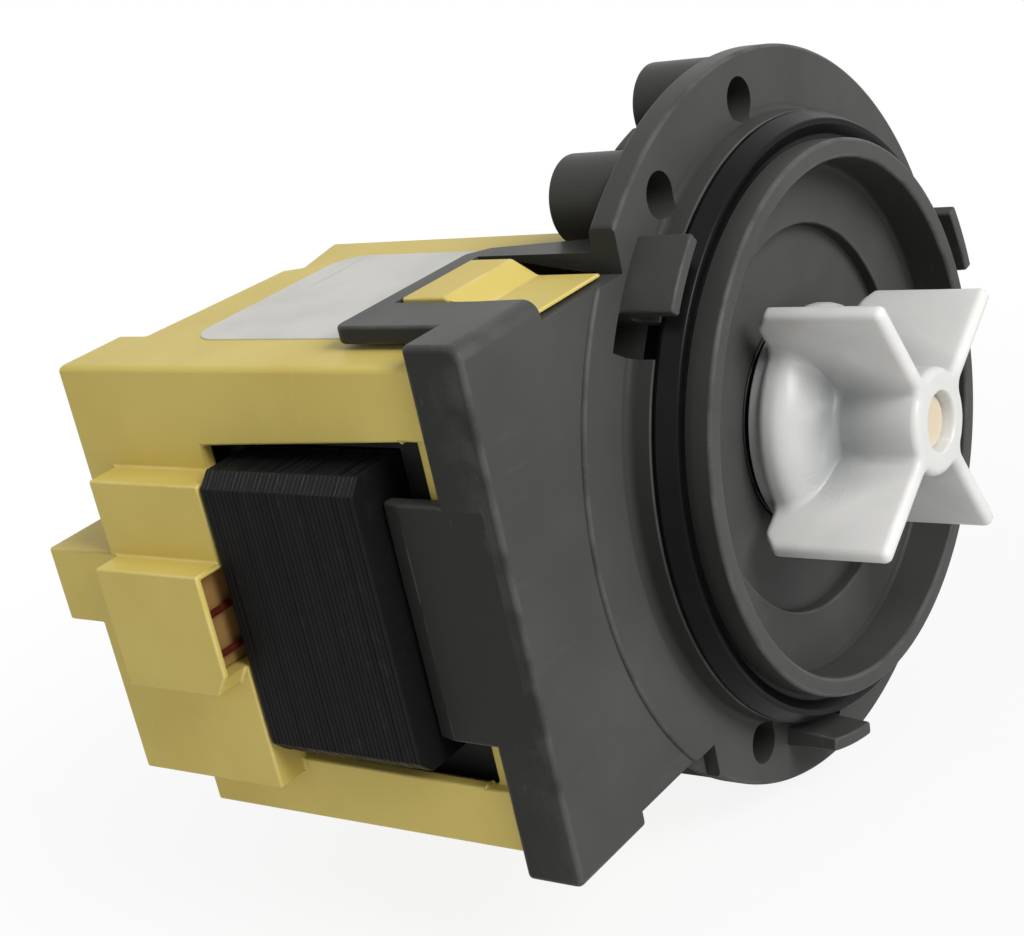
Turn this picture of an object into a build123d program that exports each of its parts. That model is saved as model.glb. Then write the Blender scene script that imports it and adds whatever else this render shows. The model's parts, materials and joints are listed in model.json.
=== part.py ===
"""Washing machine drain pump: a wound stator in a yellow housing behind a grey flanged moulding.

X runs to the right seen from the front, Z up. The pump axis lies along Y through the origin,
the impeller faces -Y, and y = 0 is the front face of the flange. Sizes are in millimetres.
"""
from build123d import *
import math
import os

os.makedirs("parts", exist_ok=True)

# Clearances
fit_gap = 0.3
press_gap = 0.02
running_gap = 0.05
cut_over = 1.0
soft_edge = 0.4

# Cup ahead of the flange
cup_r = 35.7
cup_wall = 2.5
cup_h = 9.05
cup_floor_h = 2.5
recess_edge_w = 10.5
recess_r = cup_r - recess_edge_w
recess_depth = 2.0
floor_t = 2.1

# Sealing boss round the cup, with the gasket between them
gasket_seat_w = 2.7
gasket_seat_h = 1.0
boss_wall = 1.1
boss_r = cup_r + gasket_seat_w + boss_wall
boss_h = 3.4
boss_root_r = 1.2
boss_notch_turn = 6.4

# Flange
flange_w = 8.5
flange_r = boss_r + flange_w
flange_t = 3.6
flange_back_rim_w = 11.0
screw_edge_w = 5.6
screw_circle_r = flange_r - screw_edge_w
screw_hole_r = 2.85
screw_tube_r = 5.5
screw_tube_back_y = 12.3
screw_angles = (0, 120, 240)
spare_screw_angle = 90

# Bayonet clips round the flange
clip_edge_w = 4.8
clip_r = flange_r - clip_edge_w
clip_root_t = 2.5
clip_tip_t = 1.7
clip_h = 7.2
clip_start_angle = 8.6
clip_turn = 13.2
clip_count = 3

# Bracket box behind the flange, beside the pump axis
bracket_near_x = 62.8
bracket_far_x = 13.2
bracket_face_back = 0.5
bracket_back_y = 8.5
bracket_top = 33.25
bracket_bottom = 33.35
bracket_step_bottom = 31.0
bracket_step_x = 48.8
bracket_wall = 2.3
bracket_plate = 2.6
bracket_top_round = 2.0
bracket_edge_round = 0.95
lug_top = 14.6
lug_bottom = 15.6
lug_t = 2.2
lug_bevel_l = 2.5
lug_bevel_t = 0.6

# Snap loop over the stator housing
loop_near_x = 56.3
loop_far_x = 28.0
loop_root_far_x = 25.5
loop_back_y = 23.3
loop_t = 2.2
loop_corner_cut = 2.4
window_near_x = 48.3
window_far_x = 31.7
window_back_y = 20.3
window_near_slope = 1.2
rim_pocket_x = 32.2
rim_pocket_depth = 2.0

# Small catch behind the flange, between two screw tubes
catch_angle = 105.5
catch_turn = 7.0
catch_edge_w = 5.0
catch_r = flange_r - catch_edge_w
catch_t = 3.4
catch_back_y = 10.2

# Rotor can behind the cup floor
can_r = 13.7
can_wall = 1.2
can_back_y = 45.4
can_collar_r = 16.0
can_collar_y = 3.4
can_collar_slope = 1.6
pocket_r = 7.0
pocket_back_y = 50.0

# Front bearing holder in the mouth of the can
holder_r = 13.6
holder_t = 1.6
holder_back_y = 9.0
holder_groove_depth = 1.5
holder_groove_w = 2.0
o_ring_section_r = 0.85

# Shaft and its bushes
shaft_r = 2.0
shaft_back_y = 48.2
shaft_front_y = 17.0
bush_r = 4.5
front_bush_y = 0.5
front_bush_l = 8.0
rear_bush_r = 4.0
rear_bush_y = 44.4
rear_bush_l = 4.0

# Rotor
magnet_r = 11.8
magnet_bore_r = 4.2
magnet_y = 16.4
magnet_l = 25.0
sleeve_flange_r = 9.0
sleeve_flange_t = 1.5
sleeve_nose_r = 3.6
washer_r = 4.2
washer_t = 0.7

# Impeller
blade_gap = 3.8
blade_r = recess_r - blade_gap
blade_t = 2.3
blade_back_y = 2.9
blade_front_y = 20.9
blade_chamfer_r = 2.4
blade_chamfer_y = 2.1
blade_count = 4
blade_angle = 30
blade_root_r = 1.2
dome_r = 15.1
dome_back_y = 3.4
dome_curve_y = 4.6
dome_front_y = 9.3
hub_r = 6.9
cavity_r = 10.9
cavity_front_y = 7.2
cap_r = 14.2
cap_back_y = 1.3
cap_front_y = 3.3
cap_spigot_r = 12.8
cap_spigot_y = 4.3
cap_bore_r = 4.6
nose_r = 3.6
nose_t = 2.3
nose_sink = 1.4

# Lost-motion coupling inside the dome
dog_ring_r = 4.0
dog_r = 10.4
dog_back_y = 4.6
dog_front_y = 6.9
dog_turn = 70
dog_angle = 120
key_inner_r = 4.6
key_back_y = 4.5
key_turn = 56
key_angle = 300
pad_turn = 7
pad_gap_turn = 0.3

# Bobbins, windings and their tape
bobbin_wall = 1.0
bobbin_flange_t = 1.2
bobbin_far_x = 17.95
winding_t = 3.9
winding_corner_r = 3.0
winding_half_gap = 1.85
tape_t = 0.3
flange_over = 0.15

# Stator core: a yoke and two pole legs of stacked sheets, with room for both windings between the legs
core_front_y = 17.1
core_back_y = 40.7
leg_h = 11.25
leg_bottom = fit_gap + bobbin_wall + winding_t + tape_t + flange_over + winding_half_gap
core_half_h = leg_bottom + leg_h
yoke_near_x = 66.5
yoke_t = 9.0
yoke_chamfer = 1.8
bore_r = can_r + fit_gap
pole_far_x = 17.4
pole_near_x = 15.6
pole_gap_half = 1.8

# Yellow stator housing
housing_near_x = 61.8
housing_far_x = 16.0
housing_top = 30.4
housing_top_far_x = 12.8
housing_bottom = 30.2
housing_front_y = 8.8
housing_wall = 1.8
housing_edge_round = 0.8
plug_front_y = 4.8
plug_bottom = 28.9
web_t = 2.7
rear_near_y = 64.8
rear_mid_y = 60.0
rear_mid_far_y = 58.6
rear_far_y = 56.0
rear_corner_y = 59.2
rear_step_x = 50.5
rear_mid_far_x = 25.5
rear_far_step_x = 24.4
rear_corner_x = 13.9
beam_top = 23.5
beam_back_y = 58.7
opening_front_top = 21.7
opening_back_top = 20.4
opening_front_bottom = 22.1
opening_back_bottom = 21.65
opening_back_y = 43.5
opening_depth = 2.9
leg_slot_gap = 0.7

# Raised side of the housing behind the yoke
side_near_x = 66.5
side_front_y = 41.1
side_top = 17.3
side_upper_back_y = 59.7
side_lower_back_y = 65.0
side_lower_top = 2.5

# Cover over the thermal cut-out
cover_near_x = 70.5
cover_back_y = 58.5
cover_top = 7.4
cover_bottom = 8.65
cover_wall = 0.9
cover_pocket_top = 6.6
cover_pocket_bottom = 6.3
cover_pocket_back_y = 56.5
cover_corner_y = 1.9
cover_corner_z = 2.75

# Terminal socket
socket_far_x = 48.5
socket_back_y = 71.0
socket_top = 7.6
socket_bottom = 2.5
socket_wall = 1.2
socket_floor_y = 60.5
tab_w = 4.8
tab_t = 0.8
tab_pitch = 8.0
tab_front_y = 52.0
tab_back_y = 69.6
tab_tip = 0.3

# Latch wedge on the top of the housing
tongue_near_x = 47.4
tongue_far_x = 33.5
tongue_front_y = 1.75
tongue_top = 31.4
tongue_t = 0.5
wedge_foot_y = 10.4
wedge_crest_y = 13.8
wedge_top = 33.5
wedge_back_y = 20.0

# Thermal cut-out, strip and link wires seen through the cover's open end
strip_front_y = 43.3
strip_t = 1.2
strip_far_x = 61.0
wire_r = 0.45
wire_heights = (1.4, -3.9)
cutout_y = 44.8
cutout_l = 9.0
cutout_half_h = 4.4
cutout_t = 3.8

# Label on the top of the housing
label_near_x = 52.6
label_far_x = 20.6
label_front_y = 20.8
label_back_y = 51.0
label_t = 0.15
label_corner_r = 4.5


def front_plane(y):
    """Return the sketch plane at depth y that faces the front, with Z up."""
    return Plane.XZ.offset(-y)


def block(x_span, y_span, z_span, mode=Mode.ADD):
    """Add or cut a block between two places on each axis."""
    with Locations((x_span[0], y_span[0], z_span[0])):
        Box(
            x_span[1] - x_span[0],
            y_span[1] - y_span[0],
            z_span[1] - z_span[0],
            align=(Align.MIN, Align.MIN, Align.MIN),
            mode=mode,
        )


def ring_sector(inner_r, outer_r, start_angle, turn):
    """Draw part of a flat ring in the sketch at hand."""
    with BuildLine() as outline:
        inner = CenterArc((0, 0), inner_r, start_angle, turn)
        outer = CenterArc((0, 0), outer_r, start_angle, turn)
        Line(inner @ 0, outer @ 0)
        Line(inner @ 1, outer @ 1)
    make_face(outline.edges())


def half_profile(points):
    """Draw a closed profile of radius and depth points in the sketch at hand."""
    with BuildLine() as outline:
        Polyline(*points, close=True)
    make_face(outline.edges())


def on_circle(radius, angle):
    """Return the front view place at a radius and an angle."""
    return radius * math.cos(math.radians(angle)), radius * math.sin(math.radians(angle))


def save(piece, name):
    """Label a finished piece and write it as a STEP file."""
    piece.part.label = name
    export_step(piece.part, "parts/" + name + ".step")


# Grey front moulding
can_inner_r = can_r - can_wall
can_inner_y = can_back_y - can_wall
recess_floor_y = recess_depth - cup_floor_h
holder_seat_y = recess_floor_y + holder_t
bracket_inner_top = bracket_top - bracket_wall
bracket_inner_bottom = plug_bottom + fit_gap
plate_back_y = bracket_face_back + bracket_plate
lug_back_y = core_front_y - fit_gap
loop_bottom = bracket_top - loop_t
window_floor = tongue_top - tongue_t - fit_gap

with BuildPart() as front_moulding:
    # Bracket box with its rounded front edges
    with BuildSketch(front_plane(bracket_face_back)):
        with BuildLine():
            Polyline(
                (-bracket_near_x, bracket_top),
                (-bracket_near_x, -bracket_bottom),
                (-bracket_step_x, -bracket_bottom),
                (-bracket_step_x, -bracket_step_bottom),
                (-bracket_far_x, -bracket_step_bottom),
                (-bracket_far_x, bracket_top),
                close=True,
            )
        make_face()
    extrude(amount=bracket_face_back - bracket_back_y)
    box_front = front_moulding.edges().group_by(Axis.Y)[0]
    fillet(box_front.filter_by(Axis.X).sort_by(Axis.Z)[-1], bracket_top_round)
    box_front = front_moulding.edges().group_by(Axis.Y)[0]
    fillet(box_front.filter_by(Axis.Z).sort_by(Axis.X)[0], bracket_edge_round)

    # Snap loop, level with the top of the box
    with BuildSketch(Plane.XY.offset(loop_bottom)):
        with BuildLine():
            Polyline(
                (-loop_near_x, bracket_back_y - cut_over),
                (-loop_near_x, loop_back_y - loop_corner_cut / 2),
                (-loop_near_x + loop_corner_cut / 2, loop_back_y),
                (-loop_far_x - loop_corner_cut, loop_back_y),
                (-loop_far_x, loop_back_y - loop_corner_cut),
                (-loop_root_far_x, bracket_back_y - cut_over),
                close=True,
            )
        make_face()
    extrude(amount=loop_t)

    # Hollow of the box for the front of the housing
    block(
        (bracket_wall - bracket_near_x, -bracket_far_x - bracket_wall),
        (plate_back_y, bracket_back_y + cut_over),
        (-bracket_inner_bottom, bracket_inner_top),
        Mode.SUBTRACT,
    )

    # Lug that reaches along the side opening towards the yoke
    with BuildSketch(Plane.XY.offset(-lug_bottom)):
        with BuildLine():
            Polyline(
                (-bracket_near_x, bracket_back_y - cut_over),
                (-bracket_near_x, lug_back_y - lug_bevel_l),
                (-bracket_near_x + lug_bevel_t, lug_back_y),
                (-bracket_near_x + lug_t, lug_back_y),
                (-bracket_near_x + lug_t, bracket_back_y - cut_over),
                close=True,
            )
        make_face()
    extrude(amount=lug_top + lug_bottom)

    # Flange, boss, cup and rotor can as one turned shape
    with BuildSketch(Plane.XY):
        half_profile(
            [
                (can_inner_r, holder_seat_y),
                (holder_r + fit_gap, holder_seat_y),
                (holder_r + fit_gap, recess_floor_y),
                (recess_r, recess_floor_y),
                (recess_r, -cup_floor_h),
                (cup_r - cup_wall, -cup_floor_h),
                (cup_r - cup_wall, -cup_h),
                (cup_r, -cup_h),
                (cup_r, -gasket_seat_h),
                (boss_r - boss_wall, -gasket_seat_h),
                (boss_r - boss_wall, -boss_h),
                (boss_r, -boss_h),
                (boss_r, -boss_root_r),
                (boss_r + boss_root_r, 0),
                (flange_r, 0),
                (flange_r, flange_t),
                (flange_r - flange_back_rim_w, flange_t),
                (flange_r - flange_back_rim_w, recess_floor_y + floor_t),
                (can_collar_r, recess_floor_y + floor_t),
                (can_collar_r, can_collar_y),
                (can_r, can_collar_y + can_collar_slope),
                (can_r, can_back_y),
                (pocket_r, can_back_y),
                (pocket_r, pocket_back_y),
                (0, pocket_back_y),
                (0, pocket_back_y - can_wall),
                (pocket_r - can_wall, pocket_back_y - can_wall),
                (pocket_r - can_wall, can_inner_y),
                (can_inner_r, can_inner_y),
            ]
        )
    revolve(axis=Axis.Y)

    # Window of the loop, open to the front through the rim of the flange
    with BuildSketch(Plane.XY.offset(window_floor)):
        with BuildLine():
            Polyline(
                (-window_near_x, window_back_y),
                (-window_near_x, bracket_back_y),
                (-window_near_x + window_near_slope / 2, bracket_face_back - cut_over),
                (-window_far_x, bracket_face_back - cut_over),
                (-window_far_x, window_back_y),
                close=True,
            )
        make_face()
    extrude(amount=bracket_top - window_floor + cut_over, mode=Mode.SUBTRACT)
    # Pocket in the front of the rim, below the box
    block(
        (-bracket_step_x, -rim_pocket_x),
        (-cut_over, rim_pocket_depth),
        (-flange_r, -bracket_step_bottom),
        Mode.SUBTRACT,
    )

    # Screw tubes behind the flange
    tube_places = [on_circle(screw_circle_r, a) for a in (*screw_angles, spare_screw_angle)]
    with BuildSketch(front_plane(0)):
        with Locations(*tube_places):
            Circle(screw_tube_r)
    extrude(amount=-screw_tube_back_y)
    with BuildSketch(front_plane(-cut_over)):
        with Locations(*tube_places):
            Circle(screw_hole_r)
    extrude(amount=-screw_tube_back_y - 2 * cut_over, mode=Mode.SUBTRACT)

    # Catch between two screw tubes
    with BuildSketch(front_plane(flange_t - soft_edge)):
        ring_sector(catch_r - catch_t, catch_r, catch_angle - catch_turn / 2, catch_turn)
    extrude(amount=flange_t - soft_edge - catch_back_y)

    # Tapered bayonet clips, with an opening through boss and flange beside each
    for index in range(clip_count):
        clip_end = clip_start_angle + clip_turn + index * 360 / clip_count
        with BuildSketch(Plane.XY.rotated((0, -clip_end, 0))):
            half_profile(
                [
                    (clip_r - clip_root_t, soft_edge),
                    (clip_r, soft_edge),
                    (clip_r, -clip_h),
                    (clip_r - clip_tip_t, -clip_h),
                ]
            )
        revolve(axis=Axis.Y, revolution_arc=clip_turn)
        with BuildSketch(front_plane(flange_t + cut_over)):
            ring_sector(boss_r - boss_wall, clip_r, clip_end, boss_notch_turn)
        extrude(amount=flange_t + boss_h + 2 * cut_over, mode=Mode.SUBTRACT)
save(front_moulding, "front_moulding")

# Rubber gasket in the groove between boss and cup
gasket_outer_r = cup_r + gasket_seat_w
gasket_lip_t_share = 0.3
gasket_lip_h = 2.8
gasket_flap_t = 0.6
gasket_inner_drop = 0.6
gasket_lip_w = gasket_seat_w * gasket_lip_t_share
with BuildPart() as cup_gasket:
    with BuildSketch(Plane.XY):
        half_profile(
            [
                (cup_r, -gasket_seat_h),
                (gasket_outer_r, -gasket_seat_h),
                (gasket_outer_r, -boss_h),
                (boss_r, -boss_h),
                (boss_r, -boss_h - gasket_flap_t),
                (gasket_outer_r, -boss_h - gasket_lip_h),
                (gasket_outer_r - gasket_lip_w, -boss_h - gasket_lip_h),
                (cup_r, -boss_h - gasket_lip_h + gasket_inner_drop),
            ]
        )
    revolve(axis=Axis.Y)
save(cup_gasket, "cup_gasket")

# Front bearing holder with its sealing ring and bush
plug_r = can_inner_r - fit_gap
groove_mid_y = (holder_seat_y + holder_back_y) / 2
with BuildPart() as bearing_holder:
    with BuildSketch(Plane.XY):
        half_profile(
            [
                (bush_r + press_gap, recess_floor_y),
                (holder_r, recess_floor_y),
                (holder_r, holder_seat_y),
                (plug_r, holder_seat_y),
                (plug_r, groove_mid_y - holder_groove_w / 2),
                (plug_r - holder_groove_depth, groove_mid_y - holder_groove_w / 2),
                (plug_r - holder_groove_depth, groove_mid_y + holder_groove_w / 2),
                (plug_r, groove_mid_y + holder_groove_w / 2),
                (plug_r, holder_back_y),
                (bush_r + press_gap, holder_back_y),
            ]
        )
    revolve(axis=Axis.Y)
save(bearing_holder, "bearing_holder")

with BuildPart() as holder_o_ring:
    with BuildSketch(Plane.XY):
        with Locations((plug_r - holder_groove_depth + o_ring_section_r + press_gap, groove_mid_y)):
            Circle(o_ring_section_r)
    revolve(axis=Axis.Y)
save(holder_o_ring, "holder_o_ring")


def make_tube(inner_r, outer_r, front_y, length):
    """Add a plain tube along the pump axis."""
    with BuildSketch(front_plane(front_y)) as ring:
        Circle(outer_r)
        Circle(inner_r, mode=Mode.SUBTRACT)
    extrude(ring.sketch, amount=-length)


with BuildPart() as front_bush:
    make_tube(shaft_r + running_gap, bush_r, front_bush_y, front_bush_l)
save(front_bush, "front_bush")

with BuildPart() as rear_bush:
    make_tube(shaft_r + running_gap, rear_bush_r, rear_bush_y, rear_bush_l)
save(rear_bush, "rear_bush")

with BuildPart() as rear_bush_mount:
    make_tube(
        rear_bush_r + press_gap,
        pocket_r - can_wall - press_gap,
        rear_bush_y,
        rear_bush_l,
    )
save(rear_bush_mount, "rear_bush_mount")

# Rotor
magnet_back_y = magnet_y + magnet_l
washer_front_y = front_bush_y + front_bush_l + press_gap * 5
sleeve_nose_y = washer_front_y + washer_t + press_gap * 5
sleeve_front_y = magnet_y - sleeve_flange_t
sleeve_back_y = magnet_back_y + sleeve_flange_t
rear_washer_y = rear_bush_y - washer_t - press_gap * 5

with BuildPart() as rotor_shaft:
    with BuildSketch(front_plane(-shaft_front_y)):
        Circle(shaft_r)
    extrude(amount=-shaft_front_y - shaft_back_y)
    chamfer(rotor_shaft.edges(), soft_edge)
save(rotor_shaft, "rotor_shaft")

with BuildPart() as rotor_sleeve:
    with BuildSketch(Plane.XY):
        half_profile(
            [
                (shaft_r + press_gap, sleeve_nose_y),
                (sleeve_nose_r, sleeve_nose_y),
                (sleeve_nose_r, sleeve_front_y),
                (sleeve_flange_r, sleeve_front_y),
                (sleeve_flange_r, magnet_y),
                (magnet_bore_r - press_gap, magnet_y),
                (magnet_bore_r - press_gap, magnet_back_y),
                (sleeve_flange_r, magnet_back_y),
                (sleeve_flange_r, sleeve_back_y),
                (shaft_r + press_gap, sleeve_back_y),
            ]
        )
    revolve(axis=Axis.Y)
save(rotor_sleeve, "rotor_sleeve")

with BuildPart() as rotor_magnet:
    make_tube(magnet_bore_r, magnet_r, magnet_y, magnet_l)
    chamfer(rotor_magnet.edges().filter_by(GeomType.CIRCLE).sort_by(SortBy.RADIUS)[-2:], soft_edge)
save(rotor_magnet, "rotor_magnet")

with BuildPart() as front_thrust_washer:
    make_tube(shaft_r + press_gap, washer_r, washer_front_y, washer_t)
save(front_thrust_washer, "front_thrust_washer")

with BuildPart() as rear_thrust_washer:
    make_tube(shaft_r + press_gap, washer_r, rear_washer_y, washer_t)
save(rear_thrust_washer, "rear_thrust_washer")

# Drive dog on the shaft, inside the dome of the impeller
with BuildPart() as drive_dog:
    with BuildSketch(front_plane(-dog_back_y)):
        Circle(dog_ring_r)
        ring_sector(dog_ring_r / 2, dog_r, dog_angle - dog_turn / 2, dog_turn)
        Circle(shaft_r + press_gap, mode=Mode.SUBTRACT)
    extrude(amount=dog_front_y - dog_back_y)
save(drive_dog, "drive_dog")

# Impeller: four blades on a domed hub, hollow at the back for the coupling
hub_bore_r = shaft_r + running_gap
nose_back_y = blade_front_y - nose_sink - nose_t
with BuildPart() as impeller:
    with BuildSketch(Plane.XY):
        with BuildLine():
            Polyline(
                (hub_bore_r, -dome_back_y),
                (dome_r, -dome_back_y),
                (dome_r, -dome_curve_y),
            )
            EllipticalCenterArc(
                (hub_r, -dome_curve_y),
                dome_r - hub_r,
                dome_front_y - dome_curve_y,
                start_angle=270,
                arc_size=90,
            )
            Polyline(
                (hub_r, -dome_front_y),
                (hub_r, -blade_front_y),
                (hub_bore_r, -blade_front_y),
                (hub_bore_r, -dome_back_y),
            )
        make_face()
    revolve(axis=Axis.Y)
    for index in range(blade_count):
        turn = blade_angle + index * 360 / blade_count
        blade_plane = Plane.XY.rotated((0, -turn, 0)).offset(-blade_t / 2)
        with BuildSketch(blade_plane):
            with BuildLine():
                Polyline(
                    (hub_r - blade_root_r, -blade_back_y),
                    (blade_r - blade_chamfer_r, -blade_back_y),
                    (blade_r, -blade_back_y - blade_chamfer_y),
                    (blade_r, -blade_front_y),
                    (hub_r - blade_root_r, -blade_front_y),
                    close=True,
                )
            make_face()
        extrude(amount=blade_t)
    # Hollow for the cap and the coupling
    with BuildSketch(Plane.XY):
        half_profile(
            [
                (0, 0),
                (dome_r, 0),
                (dome_r, -dome_back_y),
                (cap_spigot_r + press_gap, -dome_back_y),
                (cap_spigot_r + press_gap, -cap_spigot_y),
                (cavity_r, -cap_spigot_y),
                (cavity_r, -cavity_front_y),
                (0, -cavity_front_y),
            ]
        )
    revolve(axis=Axis.Y, mode=Mode.SUBTRACT)
    # Counterbore for the nose plug
    with BuildSketch(front_plane(-blade_front_y - cut_over)):
        Circle(nose_r + press_gap)
    extrude(amount=nose_back_y - blade_front_y - cut_over, mode=Mode.SUBTRACT)
    # Key that the drive dog pushes
    with BuildSketch(front_plane(-key_back_y)):
        ring_sector(key_inner_r, cavity_r + soft_edge, key_angle - key_turn / 2, key_turn)
    extrude(amount=cavity_front_y + soft_edge - key_back_y)
save(impeller, "impeller")

with BuildPart() as coupling_cap:
    with BuildSketch(Plane.XY):
        half_profile(
            [
                (cap_bore_r, -cap_back_y),
                (cap_r, -cap_back_y),
                (cap_r, -cap_front_y),
                (cap_spigot_r, -cap_front_y),
                (cap_spigot_r, -cap_spigot_y),
                (cap_bore_r, -cap_spigot_y),
            ]
        )
    revolve(axis=Axis.Y)
save(coupling_cap, "coupling_cap")

# Rubber pads on both sides of the key
with BuildPart() as coupling_damper:
    with BuildSketch(front_plane(-key_back_y)):
        for side in (-1, 1):
            edge_angle = key_angle + side * (key_turn / 2 + pad_gap_turn)
            ring_sector(key_inner_r, cavity_r - press_gap, edge_angle, side * pad_turn)
    extrude(amount=cavity_front_y - press_gap - key_back_y)
save(coupling_damper, "coupling_damper")

with BuildPart() as nose_plug:
    with BuildSketch(front_plane(-nose_back_y - press_gap)):
        Circle(nose_r)
    extrude(amount=nose_t - press_gap)
    chamfer(nose_plug.faces().sort_by(Axis.Y)[0].edges(), soft_edge)
save(nose_plug, "nose_plug")

# Stator core
yoke_far_x = yoke_near_x - yoke_t
with BuildPart() as core_yoke:
    with BuildSketch(front_plane(core_front_y)):
        with BuildLine():
            Polyline(
                (-yoke_far_x, core_half_h),
                (yoke_chamfer - yoke_near_x, core_half_h),
                (-yoke_near_x, core_half_h - yoke_chamfer),
                (-yoke_near_x, yoke_chamfer - core_half_h),
                (yoke_chamfer - yoke_near_x, -core_half_h),
                (-yoke_far_x, -core_half_h),
                close=True,
            )
        make_face()
    extrude(amount=core_front_y - core_back_y)
save(core_yoke, "core_yoke")


def make_leg(side):
    """Draw one pole leg above (side 1) or below (side -1) the pump axis."""
    with BuildSketch(front_plane(core_front_y)) as leg:
        with BuildLine() as outline:
            Polyline(
                (-yoke_far_x, side * core_half_h),
                (-yoke_far_x, side * leg_bottom),
                (-pole_near_x, side * leg_bottom),
                (-pole_near_x, side * pole_gap_half),
                (pole_far_x, side * pole_gap_half),
                (pole_far_x, side * core_half_h),
                close=True,
            )
        make_face(outline.edges())
        Circle(bore_r, mode=Mode.SUBTRACT)
    extrude(leg.sketch, amount=core_front_y - core_back_y)


leg_sides = {"upper": 1, "lower": -1}
for leg_name, side in leg_sides.items():
    with BuildPart() as core_leg:
        make_leg(side)
    save(core_leg, leg_name + "_core_leg")

# Bobbins on the legs, their windings and the tape round these
leg_mid = core_half_h - leg_h / 2
tube_half_z = leg_h / 2 + fit_gap
tube_half_y = (core_back_y - core_front_y) / 2 + fit_gap
core_mid_y = (core_front_y + core_back_y) / 2
bobbin_near_x = yoke_far_x - fit_gap
bobbin_l = bobbin_near_x - bobbin_far_x
winding_l = bobbin_l - 2 * bobbin_flange_t
core_out = bobbin_wall
wound_out = bobbin_wall + winding_t
taped_out = wound_out + tape_t
for leg_name, side in leg_sides.items():
    side_mid = side * leg_mid
    near_plane = Plane(origin=(-bobbin_near_x, core_mid_y, side_mid), x_dir=(0, 1, 0), z_dir=(1, 0, 0))
    winding_plane = near_plane.offset(bobbin_flange_t)

    with BuildPart() as bobbin:
        with BuildSketch(near_plane, near_plane.offset(bobbin_l - bobbin_flange_t)):
            RectangleRounded(
                2 * (tube_half_y + taped_out + flange_over),
                2 * (tube_half_z + taped_out + flange_over),
                winding_corner_r,
            )
        extrude(amount=bobbin_flange_t)
        with BuildSketch(near_plane):
            Rectangle(2 * (tube_half_y + core_out), 2 * (tube_half_z + core_out))
        extrude(amount=bobbin_l)
        with BuildSketch(near_plane):
            Rectangle(2 * tube_half_y, 2 * tube_half_z)
        extrude(amount=bobbin_l, mode=Mode.SUBTRACT)
    save(bobbin, leg_name + "_bobbin")

    with BuildPart() as winding:
        with BuildSketch(winding_plane):
            RectangleRounded(
                2 * (tube_half_y + wound_out), 2 * (tube_half_z + wound_out), winding_corner_r
            )
            Rectangle(2 * (tube_half_y + core_out), 2 * (tube_half_z + core_out), mode=Mode.SUBTRACT)
        extrude(amount=winding_l)
    save(winding, leg_name + "_winding")

    with BuildPart() as winding_tape:
        with BuildSketch(winding_plane):
            RectangleRounded(
                2 * (tube_half_y + taped_out), 2 * (tube_half_z + taped_out), winding_corner_r
            )
            RectangleRounded(
                2 * (tube_half_y + wound_out),
                2 * (tube_half_z + wound_out),
                winding_corner_r,
                mode=Mode.SUBTRACT,
            )
        extrude(amount=winding_l)
    save(winding_tape, leg_name + "_winding_tape")

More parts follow.
